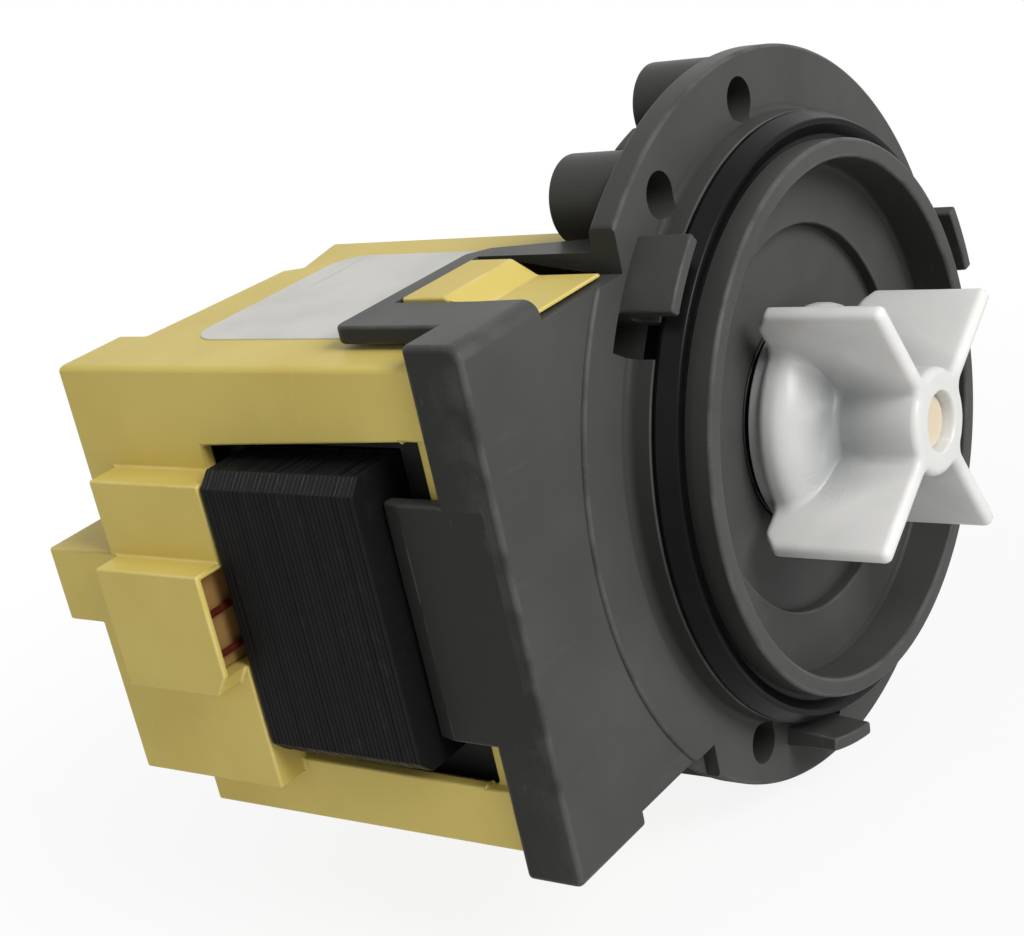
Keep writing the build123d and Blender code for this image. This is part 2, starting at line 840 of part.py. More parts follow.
# Yellow stator housing
plug_near_x = bracket_near_x - bracket_wall - fit_gap
cavity_near_x = housing_near_x - housing_wall
cavity_far_x = housing_far_x + housing_wall
cavity_top = housing_top - housing_wall
cavity_bottom = housing_bottom - housing_wall
cavity_back_y = rear_far_y - housing_wall
plug_inner_x = plug_near_x - housing_wall
web_back_y = housing_front_y + web_t
with BuildPart() as stator_housing:
    with BuildSketch(Plane.XY.offset(-beam_top)):
        with BuildLine():
            Polyline(
                (-housing_near_x, housing_front_y),
                (-housing_near_x, rear_near_y),
                (-rear_step_x, rear_near_y),
                (-rear_step_x, rear_mid_y),
                (-rear_mid_far_x, rear_mid_far_y),
                (-rear_far_step_x, rear_far_y),
                (-housing_far_x, rear_far_y),
                (-housing_far_x, housing_front_y),
                close=True,
            )
        make_face()
    extrude(amount=beam_top + housing_top)
    # Overhang of the top on the far side
    with BuildSketch(Plane.XY.offset(housing_top - housing_wall)):
        with BuildLine():
            Polyline(
                (-rear_far_step_x, housing_front_y),
                (-rear_far_step_x, rear_far_y),
                (-rear_corner_x, rear_corner_y),
                (-housing_top_far_x, housing_front_y),
                close=True,
            )
        make_face()
    extrude(amount=housing_wall)
    fillet(stator_housing.edges().group_by(Axis.Z)[-1], housing_edge_round)
    block(
        (-housing_near_x, -housing_far_x),
        (housing_front_y, beam_back_y),
        (-housing_bottom, -beam_top),
    )
    # Front plug that sits in the bracket box
    block(
        (-plug_near_x, -housing_far_x),
        (plug_front_y, housing_front_y),
        (-plug_bottom, housing_top - press_gap),
    )
    # Raised side behind the yoke
    block(
        (-side_near_x, -housing_near_x),
        (side_front_y, side_upper_back_y),
        (-beam_top, side_top),
    )
    block(
        (-side_near_x, -housing_near_x),
        (side_upper_back_y, side_lower_back_y),
        (-beam_top, -side_lower_top),
    )
    # Cover of the thermal cut-out, with its lower front corner cut off
    with BuildSketch(Plane.YZ.offset(-cover_near_x)):
        with BuildLine():
            Polyline(
                (side_front_y, cover_top),
                (cover_back_y, cover_top),
                (cover_back_y, -cover_bottom),
                (side_front_y + cover_corner_y, -cover_bottom),
                (side_front_y, cover_corner_z - cover_bottom),
                close=True,
            )
        make_face()
    extrude(amount=cover_near_x - side_near_x)
    # Terminal socket
    block(
        (-side_near_x, -socket_far_x),
        (side_upper_back_y, socket_back_y),
        (-socket_bottom, socket_top),
    )
    # Tongue and latch wedge on the top
    with BuildSketch(Plane.YZ.offset(-tongue_near_x)):
        with BuildLine():
            Polyline(
                (tongue_front_y, tongue_top - tongue_t),
                (tongue_front_y, tongue_top),
                (wedge_foot_y, tongue_top),
                (wedge_crest_y, wedge_top),
                (wedge_back_y, wedge_top),
                (wedge_back_y, cavity_top),
                (plug_front_y, cavity_top),
                (plug_front_y, tongue_top - tongue_t),
                close=True,
            )
        make_face()
    extrude(amount=tongue_near_x - tongue_far_x)
    # Main hollow, with its openings to the front, the yoke and the pole legs
    block(
        (-cavity_near_x, -cavity_far_x),
        (web_back_y, cavity_back_y),
        (-cavity_bottom, cavity_top),
        Mode.SUBTRACT,
    )
    block(
        (-plug_inner_x, -cavity_far_x),
        (plug_front_y - cut_over, web_back_y + cut_over),
        (housing_wall - plug_bottom, cavity_top),
        Mode.SUBTRACT,
    )
    for low, high in ((socket_top + housing_wall, cavity_top), (-beam_top, -socket_bottom - housing_wall)):
        block(
            (-cavity_near_x, -rear_step_x - housing_wall),
            (cavity_back_y - cut_over, rear_near_y - housing_wall),
            (low, high),
            Mode.SUBTRACT,
        )
    with BuildSketch(Plane.YZ.offset(-side_near_x - cut_over)):
        with BuildLine():
            Polyline(
                (web_back_y, -opening_front_bottom),
                (web_back_y, opening_front_top),
                (opening_back_y, opening_back_top),
                (opening_back_y, side_top),
                (side_front_y, side_top),
                (side_front_y, -opening_back_bottom),
                close=True,
            )
        make_face()
    extrude(amount=side_near_x + cut_over - housing_near_x + opening_depth, mode=Mode.SUBTRACT)
    # Notch for the lug of the front moulding
    block(
        (-bracket_near_x, lug_t + fit_gap - bracket_near_x),
        (housing_front_y - cut_over, web_back_y + cut_over),
        (-opening_front_bottom, opening_front_top),
        Mode.SUBTRACT,
    )
    block(
        (-cavity_far_x - cut_over, -housing_far_x + cut_over),
        (core_front_y - leg_slot_gap, core_back_y + leg_slot_gap),
        (-core_half_h - leg_slot_gap, core_half_h + leg_slot_gap),
        Mode.SUBTRACT,
    )
    # Pocket of the cover, open at its front end
    block(
        (-cover_near_x + cover_wall, -cavity_near_x + cut_over),
        (side_front_y - cut_over, cover_pocket_back_y),
        (-cover_pocket_bottom, cover_pocket_top),
        Mode.SUBTRACT,
    )
    # Inside of the terminal socket and the slots for its tabs
    block(
        (-side_near_x + socket_wall, -socket_far_x - socket_wall),
        (socket_floor_y, socket_back_y + cut_over),
        (-socket_bottom + socket_wall, socket_top - socket_wall),
        Mode.SUBTRACT,
    )
    socket_mid_x = -(side_near_x + socket_far_x) / 2
    socket_mid_z = (socket_top - socket_bottom) / 2
    with Locations((socket_mid_x, socket_floor_y, socket_mid_z)):
        with GridLocations(tab_pitch, 0, 2, 1):
            Box(
                tab_t + 2 * running_gap,
                2 * (socket_floor_y - tab_front_y),
                tab_w + 2 * running_gap,
                mode=Mode.SUBTRACT,
            )
save(stator_housing, "stator_housing")

# Terminal tabs
with BuildPart() as terminal_tabs:
    with Locations((socket_mid_x, (tab_front_y + tab_back_y) / 2, socket_mid_z)):
        with GridLocations(tab_pitch, 0, 2, 1):
            Box(tab_t, tab_back_y - tab_front_y, tab_w)
    tab_ends = terminal_tabs.faces().group_by(Axis.Y)[-1]
    chamfer(tab_ends.edges().filter_by(Axis.Z), tab_tip)
save(terminal_tabs, "terminal_tabs")

# Thermal cut-out, the strip in front of it and the two link wires
pocket_near_x = cover_near_x - cover_wall
wire_y = strip_front_y - wire_r - fit_gap / 2
with BuildPart() as thermal_cutout:
    block(
        (-pocket_near_x, cutout_t - pocket_near_x),
        (cutout_y, cutout_y + cutout_l),
        (-cutout_half_h, cutout_half_h),
    )
    fillet(thermal_cutout.edges().filter_by(Axis.Y), soft_edge)
save(thermal_cutout, "thermal_cutout")

with BuildPart() as terminal_strip:
    block(
        (fit_gap - pocket_near_x, -strip_far_x),
        (strip_front_y, strip_front_y + strip_t),
        (fit_gap - cover_pocket_bottom, cover_pocket_top - fit_gap),
    )
save(terminal_strip, "terminal_strip")

with BuildPart() as link_wires:
    for height in wire_heights:
        with BuildSketch(Plane.YZ.offset(fit_gap - pocket_near_x)):
            with Locations((wire_y, height)):
                Circle(wire_r)
        extrude(amount=pocket_near_x - fit_gap - strip_far_x)
save(link_wires, "link_wires")

# Label on the top of the housing
with BuildPart() as rating_label:
    label_w = label_near_x - label_far_x
    label_l = label_back_y - label_front_y
    with BuildSketch(Plane.XY.offset(housing_top)):
        with Locations((-(label_near_x + label_far_x) / 2, (label_front_y + label_back_y) / 2)):
            RectangleRounded(label_w, label_l, label_corner_r)
    extrude(amount=label_t)
save(rating_label, "rating_label")
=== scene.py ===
"""Looks of the washing machine drain pump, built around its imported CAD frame.

The scene is in metres in the frame of the part: +X to the right seen from the front, +Y from the
impeller towards the motor, +Z up, with the pump axis along Y through the origin. The sizes of the
pieces are in millimetres, and the finishes and the studio in metres.
"""
from __future__ import annotations

import json
import logging
import math
from dataclasses import dataclass
from enum import Enum
from typing import Any, Callable, Sequence

import bmesh
import bpy
import numpy as np
from mathutils import Matrix, Vector
from mathutils.bvhtree import BVHTree

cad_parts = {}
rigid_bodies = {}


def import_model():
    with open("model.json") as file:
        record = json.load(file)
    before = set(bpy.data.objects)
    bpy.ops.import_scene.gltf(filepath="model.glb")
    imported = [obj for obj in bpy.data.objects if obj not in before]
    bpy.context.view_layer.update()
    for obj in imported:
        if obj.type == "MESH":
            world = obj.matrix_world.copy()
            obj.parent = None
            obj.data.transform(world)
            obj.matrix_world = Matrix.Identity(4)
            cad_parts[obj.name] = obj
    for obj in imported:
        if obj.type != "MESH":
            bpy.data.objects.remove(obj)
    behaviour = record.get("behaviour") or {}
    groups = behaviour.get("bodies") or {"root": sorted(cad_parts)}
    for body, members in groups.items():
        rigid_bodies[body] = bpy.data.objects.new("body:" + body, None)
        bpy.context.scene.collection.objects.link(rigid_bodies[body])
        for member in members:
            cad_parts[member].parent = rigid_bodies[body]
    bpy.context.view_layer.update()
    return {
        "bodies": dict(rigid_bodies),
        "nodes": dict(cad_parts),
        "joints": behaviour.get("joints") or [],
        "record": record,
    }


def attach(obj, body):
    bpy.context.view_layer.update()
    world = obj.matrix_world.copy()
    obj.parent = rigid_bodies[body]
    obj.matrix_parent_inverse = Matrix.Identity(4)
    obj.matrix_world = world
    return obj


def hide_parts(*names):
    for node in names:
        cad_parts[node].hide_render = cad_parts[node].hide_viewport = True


LOG = logging.getLogger("drain_pump")
MM = 0.001
SAME_PLACE = 1e-6
FLAT_DEGREES = 0.4
SHADING_WEIGHT = 80
Span = tuple[float, float]
Triple = tuple[float, float, float]
Colour = Triple


class Body(Enum):
    """Bodies of the frame on which new pieces ride."""

    PUMP = "pump_body"
    IMPELLER = "impeller_body"


# ---------------------------------------------------------------- shader expressions


def math_method(operation: str, swapped: bool = False) -> Callable[["Signal", Any], "Signal"]:
    """Makes a method of Signal that adds one Math node.

    Args:
        operation: Blender's name of the operation.
        swapped: whether the other value comes first.

    Returns:
        The method.
    """

    def combine(self: "Signal", other: Any) -> "Signal":
        """Combines the signal with another signal or a number."""
        first, second = (other, self) if swapped else (self, other)
        return self.nodes.node("ShaderNodeMath", {"operation": operation}, {0: first, 1: second})

    return combine


@dataclass(frozen=True)
class Signal:
    """A shader socket that takes part in Python expressions."""

    nodes: "Nodes"
    socket: bpy.types.NodeSocket

    __add__ = math_method("ADD")
    __radd__ = math_method("ADD", True)
    __sub__ = math_method("SUBTRACT")
    __rsub__ = math_method("SUBTRACT", True)
    __mul__ = math_method("MULTIPLY")
    __rmul__ = math_method("MULTIPLY", True)
    larger = math_method("MAXIMUM")

    def mapped(self, source: Span, target: Span = (0.0, 1.0), kind: str = "LINEAR") -> "Signal":
        """Maps a span of values onto another and stays within it.

        Args:
            source: values that are mapped.
            target: what they become.
            kind: Blender's name of the interpolation.

        Returns:
            The mapped signal.
        """
        values = {"Value": self, "From Min": source[0], "From Max": source[1]}
        values |= {"To Min": target[0], "To Max": target[1]}
        return self.nodes.node("ShaderNodeMapRange", {"interpolation_type": kind}, values)

    def above(self, low: float, high: float) -> "Signal":
        """Rises smoothly from 0 at low to 1 at high."""
        return self.mapped((low, high), kind="SMOOTHSTEP")

    def length(self) -> "Signal":
        """Length of the signal as a vector."""
        return self.nodes.node("ShaderNodeVectorMath", {"operation": "LENGTH"}, {0: self}, "Value")


class Nodes:
    """A shader's node tree, made node by node."""

    def __init__(self, tree: bpy.types.NodeTree) -> None:
        """Takes the tree with the nodes that it has."""
        self.tree = tree

    def node(
        self,
        kind: str,
        settings: dict[str, Any] | None = None,
        values: dict[Any, Any] | None = None,
        output: Any = None,
    ) -> Signal:
        """Adds a node.

        Args:
            kind: Blender's type name of the node.
            settings: properties that are set before the sockets.
            values: numbers, colours or signals for the input sockets, by name or index.
            output: name or index of the output; the first enabled one if left out.

        Returns:
            The output as a signal.
        """
        made = self.tree.nodes.new(kind)
        for key, value in (settings or {}).items():
            setattr(made, key, value)
        for key, value in (values or {}).items():
            named = (s for s in made.inputs if s.name == key and s.enabled)
            self.put(value, made.inputs[key] if isinstance(key, int) else next(named))
        if output is None:
            return Signal(self, next(s for s in made.outputs if s.enabled))
        return Signal(self, made.outputs[output])

    def ray(self, kind: str) -> Signal:
        """1 for rays of a kind, such as Camera or Glossy."""
        return self.node("ShaderNodeLightPath", output=f"Is {kind} Ray")

    def put(self, value: Any, socket: bpy.types.NodeSocket) -> None:
        """Links a signal to an input socket, or sets its number or colour."""
        if isinstance(value, Signal):
            self.tree.links.new(value.socket, socket)
        elif socket.type == "RGBA":
            socket.default_value = (*value, 1.0)
        else:
            socket.default_value = value


class Paint(Nodes):
    """One material, made around a Principled shader."""

    def __init__(self, name: str) -> None:
        """Starts a material with a Principled shader and Object coordinates."""
        self.material = bpy.data.materials.new(name)
        self.material.use_nodes = True
        super().__init__(self.material.node_tree)
        self.shader = self.tree.nodes["Principled BSDF"]
        self.place = self.node("ShaderNodeTexCoord", output="Object")

    def noise(self, size: float, detail: float = 2.0, stretch: Triple | None = None) -> Signal:
        """Cloudy noise from 0 to 1.

        Args:
            size: size of one cloud in metres.
            detail: number of finer octaves.
            stretch: scale of each axis, for streaks.

        Returns:
            The noise value.
        """
        place = self.place
        if stretch is not None:
            place = self.node("ShaderNodeMapping", {}, {"Vector": place, "Scale": stretch})
        values = {"Vector": place, "Scale": 1.0 / size, "Detail": detail}
        return self.node("ShaderNodeTexNoise", {}, values, "Fac")

    def specks(self, size: float, share: float) -> Signal:
        """Sparse round specks, 1 inside them.

        Args:
            size: spacing of the cells in metres.
            share: radius of a speck as a share of the cell.

        Returns:
            The speck mask.
        """
        values = {"Vector": self.place, "Scale": 1.0 / size}
        cell = self.node("ShaderNodeTexVoronoi", {"feature": "F1"}, values, "Distance")
        return 1.0 - cell.above(share * 0.6, share)

    def axis(self, name: str) -> Signal:
        """One Object coordinate in metres."""
        return self.node("ShaderNodeSeparateXYZ", {}, {0: self.place}, name)

    def attribute(self, name: str) -> Signal:
        """A number stored on the mesh."""
        return self.node("ShaderNodeAttribute", {"attribute_name": name}, {}, "Fac")

    def mix(self, first: Any, second: Any, factor: Any) -> Signal:
        """Blends two colours by a factor."""
        settings = {"data_type": "RGBA", "clamp_factor": True}
        return self.node("ShaderNodeMix", settings, {"Factor": factor, "A": first, "B": second})

    def bump(self, height: Any, depth: float) -> Signal:
        """Turns a height from 0 to 1 into a bumped normal, with the depth in metres at height 1."""
        values = {"Strength": 1.0, "Distance": depth, "Height": height}
        return self.node("ShaderNodeBump", {}, values)

    def feed(self, **signals: Any) -> None:
        """Sets or links inputs of the shader; underscores in a name stand for spaces."""
        for key, value in signals.items():
            self.put(value, self.shader.inputs[key.replace("_", " ")])


# ---------------------------------------------------------------- finishes


def grey(level: float) -> Colour:
    """An even grey."""
    return (level, level, level)


def toned(colour: Colour, share: float) -> Colour:
    """A colour with every channel multiplied by a share."""
    return tuple(share * c for c in colour)


@dataclass(frozen=True)
class Finish:
    """A finish, named like its slot in the record."""

    name: str
    colour: Colour

    def make(self) -> bpy.types.Material:
        """Builds the material.

        Returns:
            The finished material.
        """
        paint = Paint(self.name)
        self.cover(paint)
        return paint.material

    def cover(self, paint: Paint) -> None:
        """Adds the nodes of the finish to its new material."""
        raise NotImplementedError


@dataclass(frozen=True)
class MouldedPlastic(Finish):
    """Injection moulded plastic with grain, flow clouds, scuffs, worn edges and painted edge
    highlights.

    With a shade share below 1, faces that look neither to the front nor up, away from the lamps,
    take that share of the colour as painted shade.
    """

    shade: Colour
    wear_and_highlight_colour: Colour
    roughness: float
    scuff: float = 0.3
    edge_wear_and_highlight: float = 0.7
    dirt_and_shade: float = 0.3
    sheen: float = 0.4
    turned_away_shade: float = 1.0
    grain: float = 0.35 * MM
    grain_depth: float = 0.012 * MM

    def cover(self, paint: Paint) -> None:
        """Adds the nodes of the finish to its new material."""
        clouds = paint.noise(22 * MM, 3.0)
        fine = paint.noise(self.grain, 2.0)
        patches = paint.noise(6 * MM, 4.0)
        streaks = paint.noise(1.0 * MM, 3.0, (0.09, 1.0, 0.35)).above(0.63, 0.72)
        scuffs = streaks * clouds.above(0.45, 0.62) * self.scuff
        worn = patches.above(0.35, 0.6) + paint.specks(0.8 * MM, 0.12) * 1.5
        # Outer roundings lightened in worn patches: wear, and a painted highlight along the edges.
        edge = paint.attribute("edge") * worn * self.edge_wear_and_highlight
        # Inner roundings darkened: dirt, and painted shade in the creases.
        crevice = paint.attribute("crevice") * self.dirt_and_shade
        colour = paint.mix(self.colour, self.shade, clouds.above(0.3, 0.75))
        colour = paint.mix(colour, self.shade, patches.above(0.5, 0.8) * 0.5)
        # Painted shade: faces turned away from the front and the top take a darker share of the
        # colour.
        if self.turned_away_shade < 1.0:
            wall = toned(self.colour, self.turned_away_shade)
            colour = paint.mix(wall, colour, paint.attribute("open_side"))
        colour = paint.mix(colour, self.wear_and_highlight_colour, scuffs * 0.5 + edge)
        # Dirt and painted shade in the creases.
        colour = paint.mix(colour, toned(self.shade, 0.35), crevice)
        rough = self.roughness + (fine - 0.5) * 0.10 + (clouds - 0.5) * 0.12 + scuffs * 0.15
        height = fine * 0.8 + patches * 0.6 + scuffs * 0.5
        paint.feed(Base_Color=colour, Roughness=rough, Normal=paint.bump(height, self.grain_depth))
        paint.feed(Specular_IOR_Level=self.sheen)


@dataclass(frozen=True)
class StackedSheets(Finish):
    """Varnished electrical sheets, stacked along Y, each with its own tone."""

    bare: Colour
    pitch: float
    start: float
    roughness: float = 0.42
    sheen: float = 0.12

    def cover(self, paint: Paint) -> None:
        """Adds the nodes of the finish to its new material."""
        along = (paint.axis("Y") - self.start) * (1.0 / self.pitch)
        sheet = paint.node("ShaderNodeMath", {"operation": "FLOOR"}, {0: along})
        settings = {"noise_dimensions": "1D"}
        tone = paint.node("ShaderNodeTexWhiteNoise", settings, {"W": sheet}, "Value")
        patches = paint.noise(2.5 * MM, 4.0)
        fine = paint.noise(0.25 * MM, 2.0)
        edge = paint.attribute("edge")
        rub = patches.above(0.56, 0.72) * tone.above(0.3, 0.9) * 0.55 + edge * 0.35
        colour = paint.mix(self.colour, toned(self.colour, 2.2), tone * 0.8)
        colour = paint.mix(colour, self.bare, rub * 0.5)
        rough = self.roughness + (tone - 0.5) * 0.16 + (fine - 0.5) * 0.12
        normal = paint.bump(fine + patches, 0.01 * MM)
        paint.feed(Base_Color=colour, Roughness=rough, Metallic=rub * 0.6, Normal=normal)
        paint.feed(Specular_IOR_Level=self.sheen)


@dataclass(frozen=True)
class Rubber(Finish):
    """Soft black rubber with a faint bloom."""

    bloom: Colour
    roughness: float
    sheen: float = 0.12

    def cover(self, paint: Paint) -> None:
        """Adds the nodes of the finish to its new material."""
        clouds = paint.noise(5 * MM, 4.0)
        fine = paint.noise(0.3 * MM, 2.0)
        faded = clouds.above(0.5, 0.8) * 0.5 + paint.specks(1.7 * MM, 0.1) * 0.5
        colour = paint.mix(self.colour, self.bloom, faded)
        rough = self.roughness + (clouds - 0.5) * 0.2
        paint.feed(Base_Color=colour, Roughness=rough, Normal=paint.bump(fine, 0.008 * MM))
        paint.feed(Specular_IOR_Level=self.sheen)


@dataclass(frozen=True)
class MilkyPlastic(Finish):
    """Natural plastic that lets light in.

    Within the first radius of the pump axis it takes the darker core colour as painted shade; it
    clears towards the second radius, and is painted lighter over a span behind the front.
    """

    core: Colour
    shade_radius: float
    unshaded_radius: float
    lit_front: float = -30 * MM
    lit_span: float = 12 * MM
    roughness: float = 0.3
    depth: float = 1.6 * MM
    share: float = 0.35
    spread: Colour = (1.0, 0.95, 0.85)

    def cover(self, paint: Paint) -> None:
        """Adds the nodes of the finish to its new material."""
        across = {0: paint.place, 1: (1.0, 0.0, 1.0)}
        flat = paint.node("ShaderNodeVectorMath", {"operation": "MULTIPLY"}, across)
        # Painted shade: the darker core colour near the axis, clearing outwards.
        outward = flat.length().above(self.shade_radius, self.unshaded_radius)
        # Painted light: clearer colour towards the front of the impeller.
        ahead = 1.0 - paint.axis("Y").above(self.lit_front, self.lit_front + self.lit_span)
        clouds = paint.noise(7 * MM, 3.0)
        fine = paint.noise(0.5 * MM, 2.0)
        colour = paint.mix(self.core, self.colour, outward + ahead * 0.8)
        colour = paint.mix(colour, toned(self.colour, 0.86), clouds.above(0.45, 0.75) * 0.6)
        rough = self.roughness + (clouds - 0.5) * 0.12 + (fine - 0.5) * 0.05
        normal = paint.bump(clouds + fine * 0.3, 0.03 * MM)
        paint.feed(Base_Color=colour, Roughness=rough, Normal=normal)
        paint.feed(Subsurface_Weight=self.share, Subsurface_Scale=self.depth)
        paint.feed(Subsurface_Radius=self.spread)


@dataclass(frozen=True)
class Metal(Finish):
    """Metal with fine lines across one axis, or enamel over it."""

    dull: Colour
    roughness: float
    metallic: float
    stretch: Triple = (1.0, 1.0, 1.0)

    def cover(self, paint: Paint) -> None:
        """Adds the nodes of the finish to its new material."""
        lines = paint.noise(0.12 * MM, 2.0, self.stretch)
        clouds = paint.noise(3 * MM, 4.0)
        colour = paint.mix(self.colour, self.dull, clouds.above(0.4, 0.75))
        rough = self.roughness + (lines - 0.5) * 0.2 + (clouds - 0.5) * 0.1
        paint.feed(Base_Color=colour, Roughness=rough, Normal=paint.bump(lines, 0.004 * MM))
        paint.feed(Metallic=self.metallic)


@dataclass(frozen=True)
class LabelPaper(Finish):
    """Plain label stock with a satin film."""

    shade: Colour
    roughness: float = 0.42

    def cover(self, paint: Paint) -> None:
        """Adds the nodes of the finish to its new material."""
        clouds = paint.noise(9 * MM, 3.0)
        fibre = paint.noise(0.5 * MM, 3.0, (0.4, 1.0, 1.0))
        # Painted shade of creases: darker streaks on the flat paper.
        crease_shade = paint.noise(2.2 * MM, 3.0, (0.12, 1.0, 1.0)).above(0.66, 0.74)
        shaded = clouds.above(0.35, 0.75) * 0.7 + fibre.above(0.6, 0.8) * 0.3
        colour = paint.mix(self.colour, self.shade, shaded)
        colour = paint.mix(colour, toned(self.shade, 0.7), crease_shade * 0.3)
        rough = self.roughness + (clouds - 0.5) * 0.15
        normal = paint.bump(clouds + fibre * 0.2, 0.05 * MM)
        paint.feed(Base_Color=colour, Roughness=rough, Normal=normal)


LINES_ALONG_Y = (1.0, 0.05, 1.0)
FINISHES = (
    MouldedPlastic(
        "grey_plastic", (0.072, 0.073, 0.068), (0.056, 0.057, 0.055), (0.12, 0.12, 0.115), 0.42,
        edge_wear_and_highlight=0.5, dirt_and_shade=0.5, sheen=0.12, turned_away_shade=0.48,
    ),
    MouldedPlastic(
        "yellow_plastic", (0.73, 0.585, 0.155), (0.66, 0.515, 0.12), (0.82, 0.70, 0.34), 0.5,
        scuff=0.35, edge_wear_and_highlight=0.45, dirt_and_shade=0.55,
    ),
    MouldedPlastic("holder_plastic", grey(0.02), grey(0.014), grey(0.06), 0.4),
    MouldedPlastic("sleeve_plastic", grey(0.05), grey(0.03), grey(0.1), 0.45),
    MouldedPlastic("bobbin_plastic", grey(0.012), grey(0.008), grey(0.03), 0.5),
    MouldedPlastic("washer_plastic", (0.7, 0.67, 0.58), (0.6, 0.56, 0.47), (0.78, 0.76, 0.7), 0.4),
    MouldedPlastic("winding_tape", (0.50, 0.28, 0.07), (0.40, 0.20, 0.04), (0.6, 0.4, 0.15), 0.3),
    MouldedPlastic("strip_board", (0.42, 0.24, 0.08), (0.26, 0.13, 0.035), (0.5, 0.33, 0.15), 0.5),
    MouldedPlastic("cutout_case", grey(0.03), grey(0.02), grey(0.08), 0.4),
    StackedSheets(
        "black_laminations", (0.0055, 0.0055, 0.006), (0.05, 0.05, 0.052), 0.6556 * MM, 17.1 * MM
    ),
    Rubber("black_rubber", grey(0.003), grey(0.006), 0.3),
    Rubber("seal_rubber", grey(0.012), grey(0.03), 0.5),
    # The core colours are painted shade near the axis.
    MilkyPlastic(
        "white_plastic", (0.78, 0.775, 0.755), (0.35, 0.365, 0.365), 7 * MM, 18 * MM, -20.6 * MM
    ),
    MilkyPlastic(
        "pale_plastic", (0.5, 0.51, 0.5), (0.4, 0.41, 0.4), 4 * MM, 12 * MM, roughness=0.35
    ),
    MilkyPlastic("cream_plastic", (0.74, 0.66, 0.50), (0.68, 0.58, 0.42), 1 * MM, 4.5 * MM),
    Metal("copper_wire", (0.55, 0.20, 0.07), (0.40, 0.13, 0.05), 0.25, 0.8, (0.05, 1.0, 1.0)),
    Metal("red_wire", (0.11, 0.016, 0.008), (0.07, 0.01, 0.006), 0.3, 0.0),
    Metal("tinned_brass", (0.62, 0.60, 0.54), (0.5, 0.46, 0.38), 0.3, 1.0, LINES_ALONG_Y),
    Metal("steel", (0.55, 0.55, 0.56), (0.42, 0.42, 0.43), 0.22, 1.0, LINES_ALONG_Y),
    Metal("ferrite", (0.05, 0.05, 0.055), (0.035, 0.035, 0.037), 0.4, 0.3, (0.1, 1.0, 0.1)),
    Metal("bush_ceramic", (0.72, 0.7, 0.65), (0.62, 0.6, 0.55), 0.35, 0.0),
    LabelPaper("label_paper", (0.66, 0.65, 0.61), (0.56, 0.55, 0.51)),
)


class Finishes:
    """All finishes by the record's slot names, each made on first use."""

    def __init__(self) -> None:
        """Makes no material yet."""
        self._listed = {finish.name: finish for finish in FINISHES}
        self._made: dict[str, bpy.types.Material] = {}

    def material(self, slot: str) -> bpy.types.Material:
        """Returns the material of a slot."""
        if slot not in self._made:
            self._made[slot] = self._listed[slot].make()
        return self._made[slot]


# ---------------------------------------------------------------- surfaces


@dataclass
class Outline:
    """Closed outline of points, with 1 on outer arcs, -1 on inner arcs and 0 elsewhere."""

    points: np.ndarray
    bend: np.ndarray

    @staticmethod
    def plain(points: Sequence[Span] | np.ndarray) -> "Outline":
        """Outline straight from point to point."""
        return Outline(np.array(points, float), np.zeros(len(points)))

    @staticmethod
    def rounded(corners: Sequence[Triple], steps: int = 5) -> "Outline":
        """Rounds the corners of a closed outline.

        At each corner the arc starts at distance r·tan(turn / 2) before it and ends as far after
        it, with its centre on the inner bisector at r / cos(turn / 2), where turn is the change of
        direction. A corner is an outer one where it turns the same way as the whole outline, which
        is the sign of the area, the half sum of x·y' - x'·y over its sides.

        Args:
            corners: the two places and the radius of each corner in order, 0 for a sharp one.
            steps: points on each arc.

        Returns:
            The rounded outline.
        """
        fixed = np.array([corner[:2] for corner in corners], float)
        following = np.roll(fixed, -1, 0)
        area = np.sum(fixed[:, 0] * following[:, 1] - following[:, 0] * fixed[:, 1])
        points, bends = [], []
        for here, before, after, corner in zip(fixed, np.roll(fixed, 1, 0), following, corners):
            radius = corner[2]
            into = (here - before) / np.linalg.norm(here - before)
            out = (after - here) / np.linalg.norm(after - here)
            turn = math.acos(float(np.clip(into @ out, -1, 1)))
            reach = radius * math.tan(turn / 2)
            if reach < SAME_PLACE:
                points.append(here[None])
                bends.append(np.zeros(1))
                continue
            middle = here + (out - into) / np.linalg.norm(out - into) * radius / math.cos(turn / 2)
            start, end = here - into * reach - middle, here + out * reach - middle
            share = np.linspace(0, 1, steps)[:, None]
            arc = (np.sin((1 - share) * turn) * start + np.sin(share * turn) * end) / math.sin(turn)
            side = 1.0 if (into[0] * out[1] - into[1] * out[0]) * area > 0 else -1.0
            bend = np.full(steps, side)
            bend[[0, -1]] = 0
            points.append(middle + arc)
            bends.append(bend)
        return Outline(np.concatenate(points), np.concatenate(bends))

    @staticmethod
    def sector(inner: float, outer: float, start: float, turn: float, steps: int = 9) -> "Outline":
        """Part of a flat ring: the outer arc from start over turn in degrees, and the inner one."""
        circle = around(np.radians(np.linspace(start, start + turn, steps)))
        return Outline.plain(np.concatenate([outer * circle, inner * circle[::-1]]))


def around(angle: np.ndarray) -> np.ndarray:
    """Points (cos a, sin a) of the unit circle."""
    return np.stack([np.cos(angle), np.sin(angle)], -1)


def lift(flat: np.ndarray, depth: np.ndarray) -> np.ndarray:
    """Puts y between the x and z of every point.

    Args:
        flat: array of x and z, of shape (rows, columns, 2).
        depth: y of each row as (rows, 1), or of each column as (columns,).

    Returns:
        Array of shape (rows, columns, 3).
    """
    return np.stack([flat[..., 0], np.broadcast_to(depth, flat.shape[:2]), flat[..., 1]], -1)


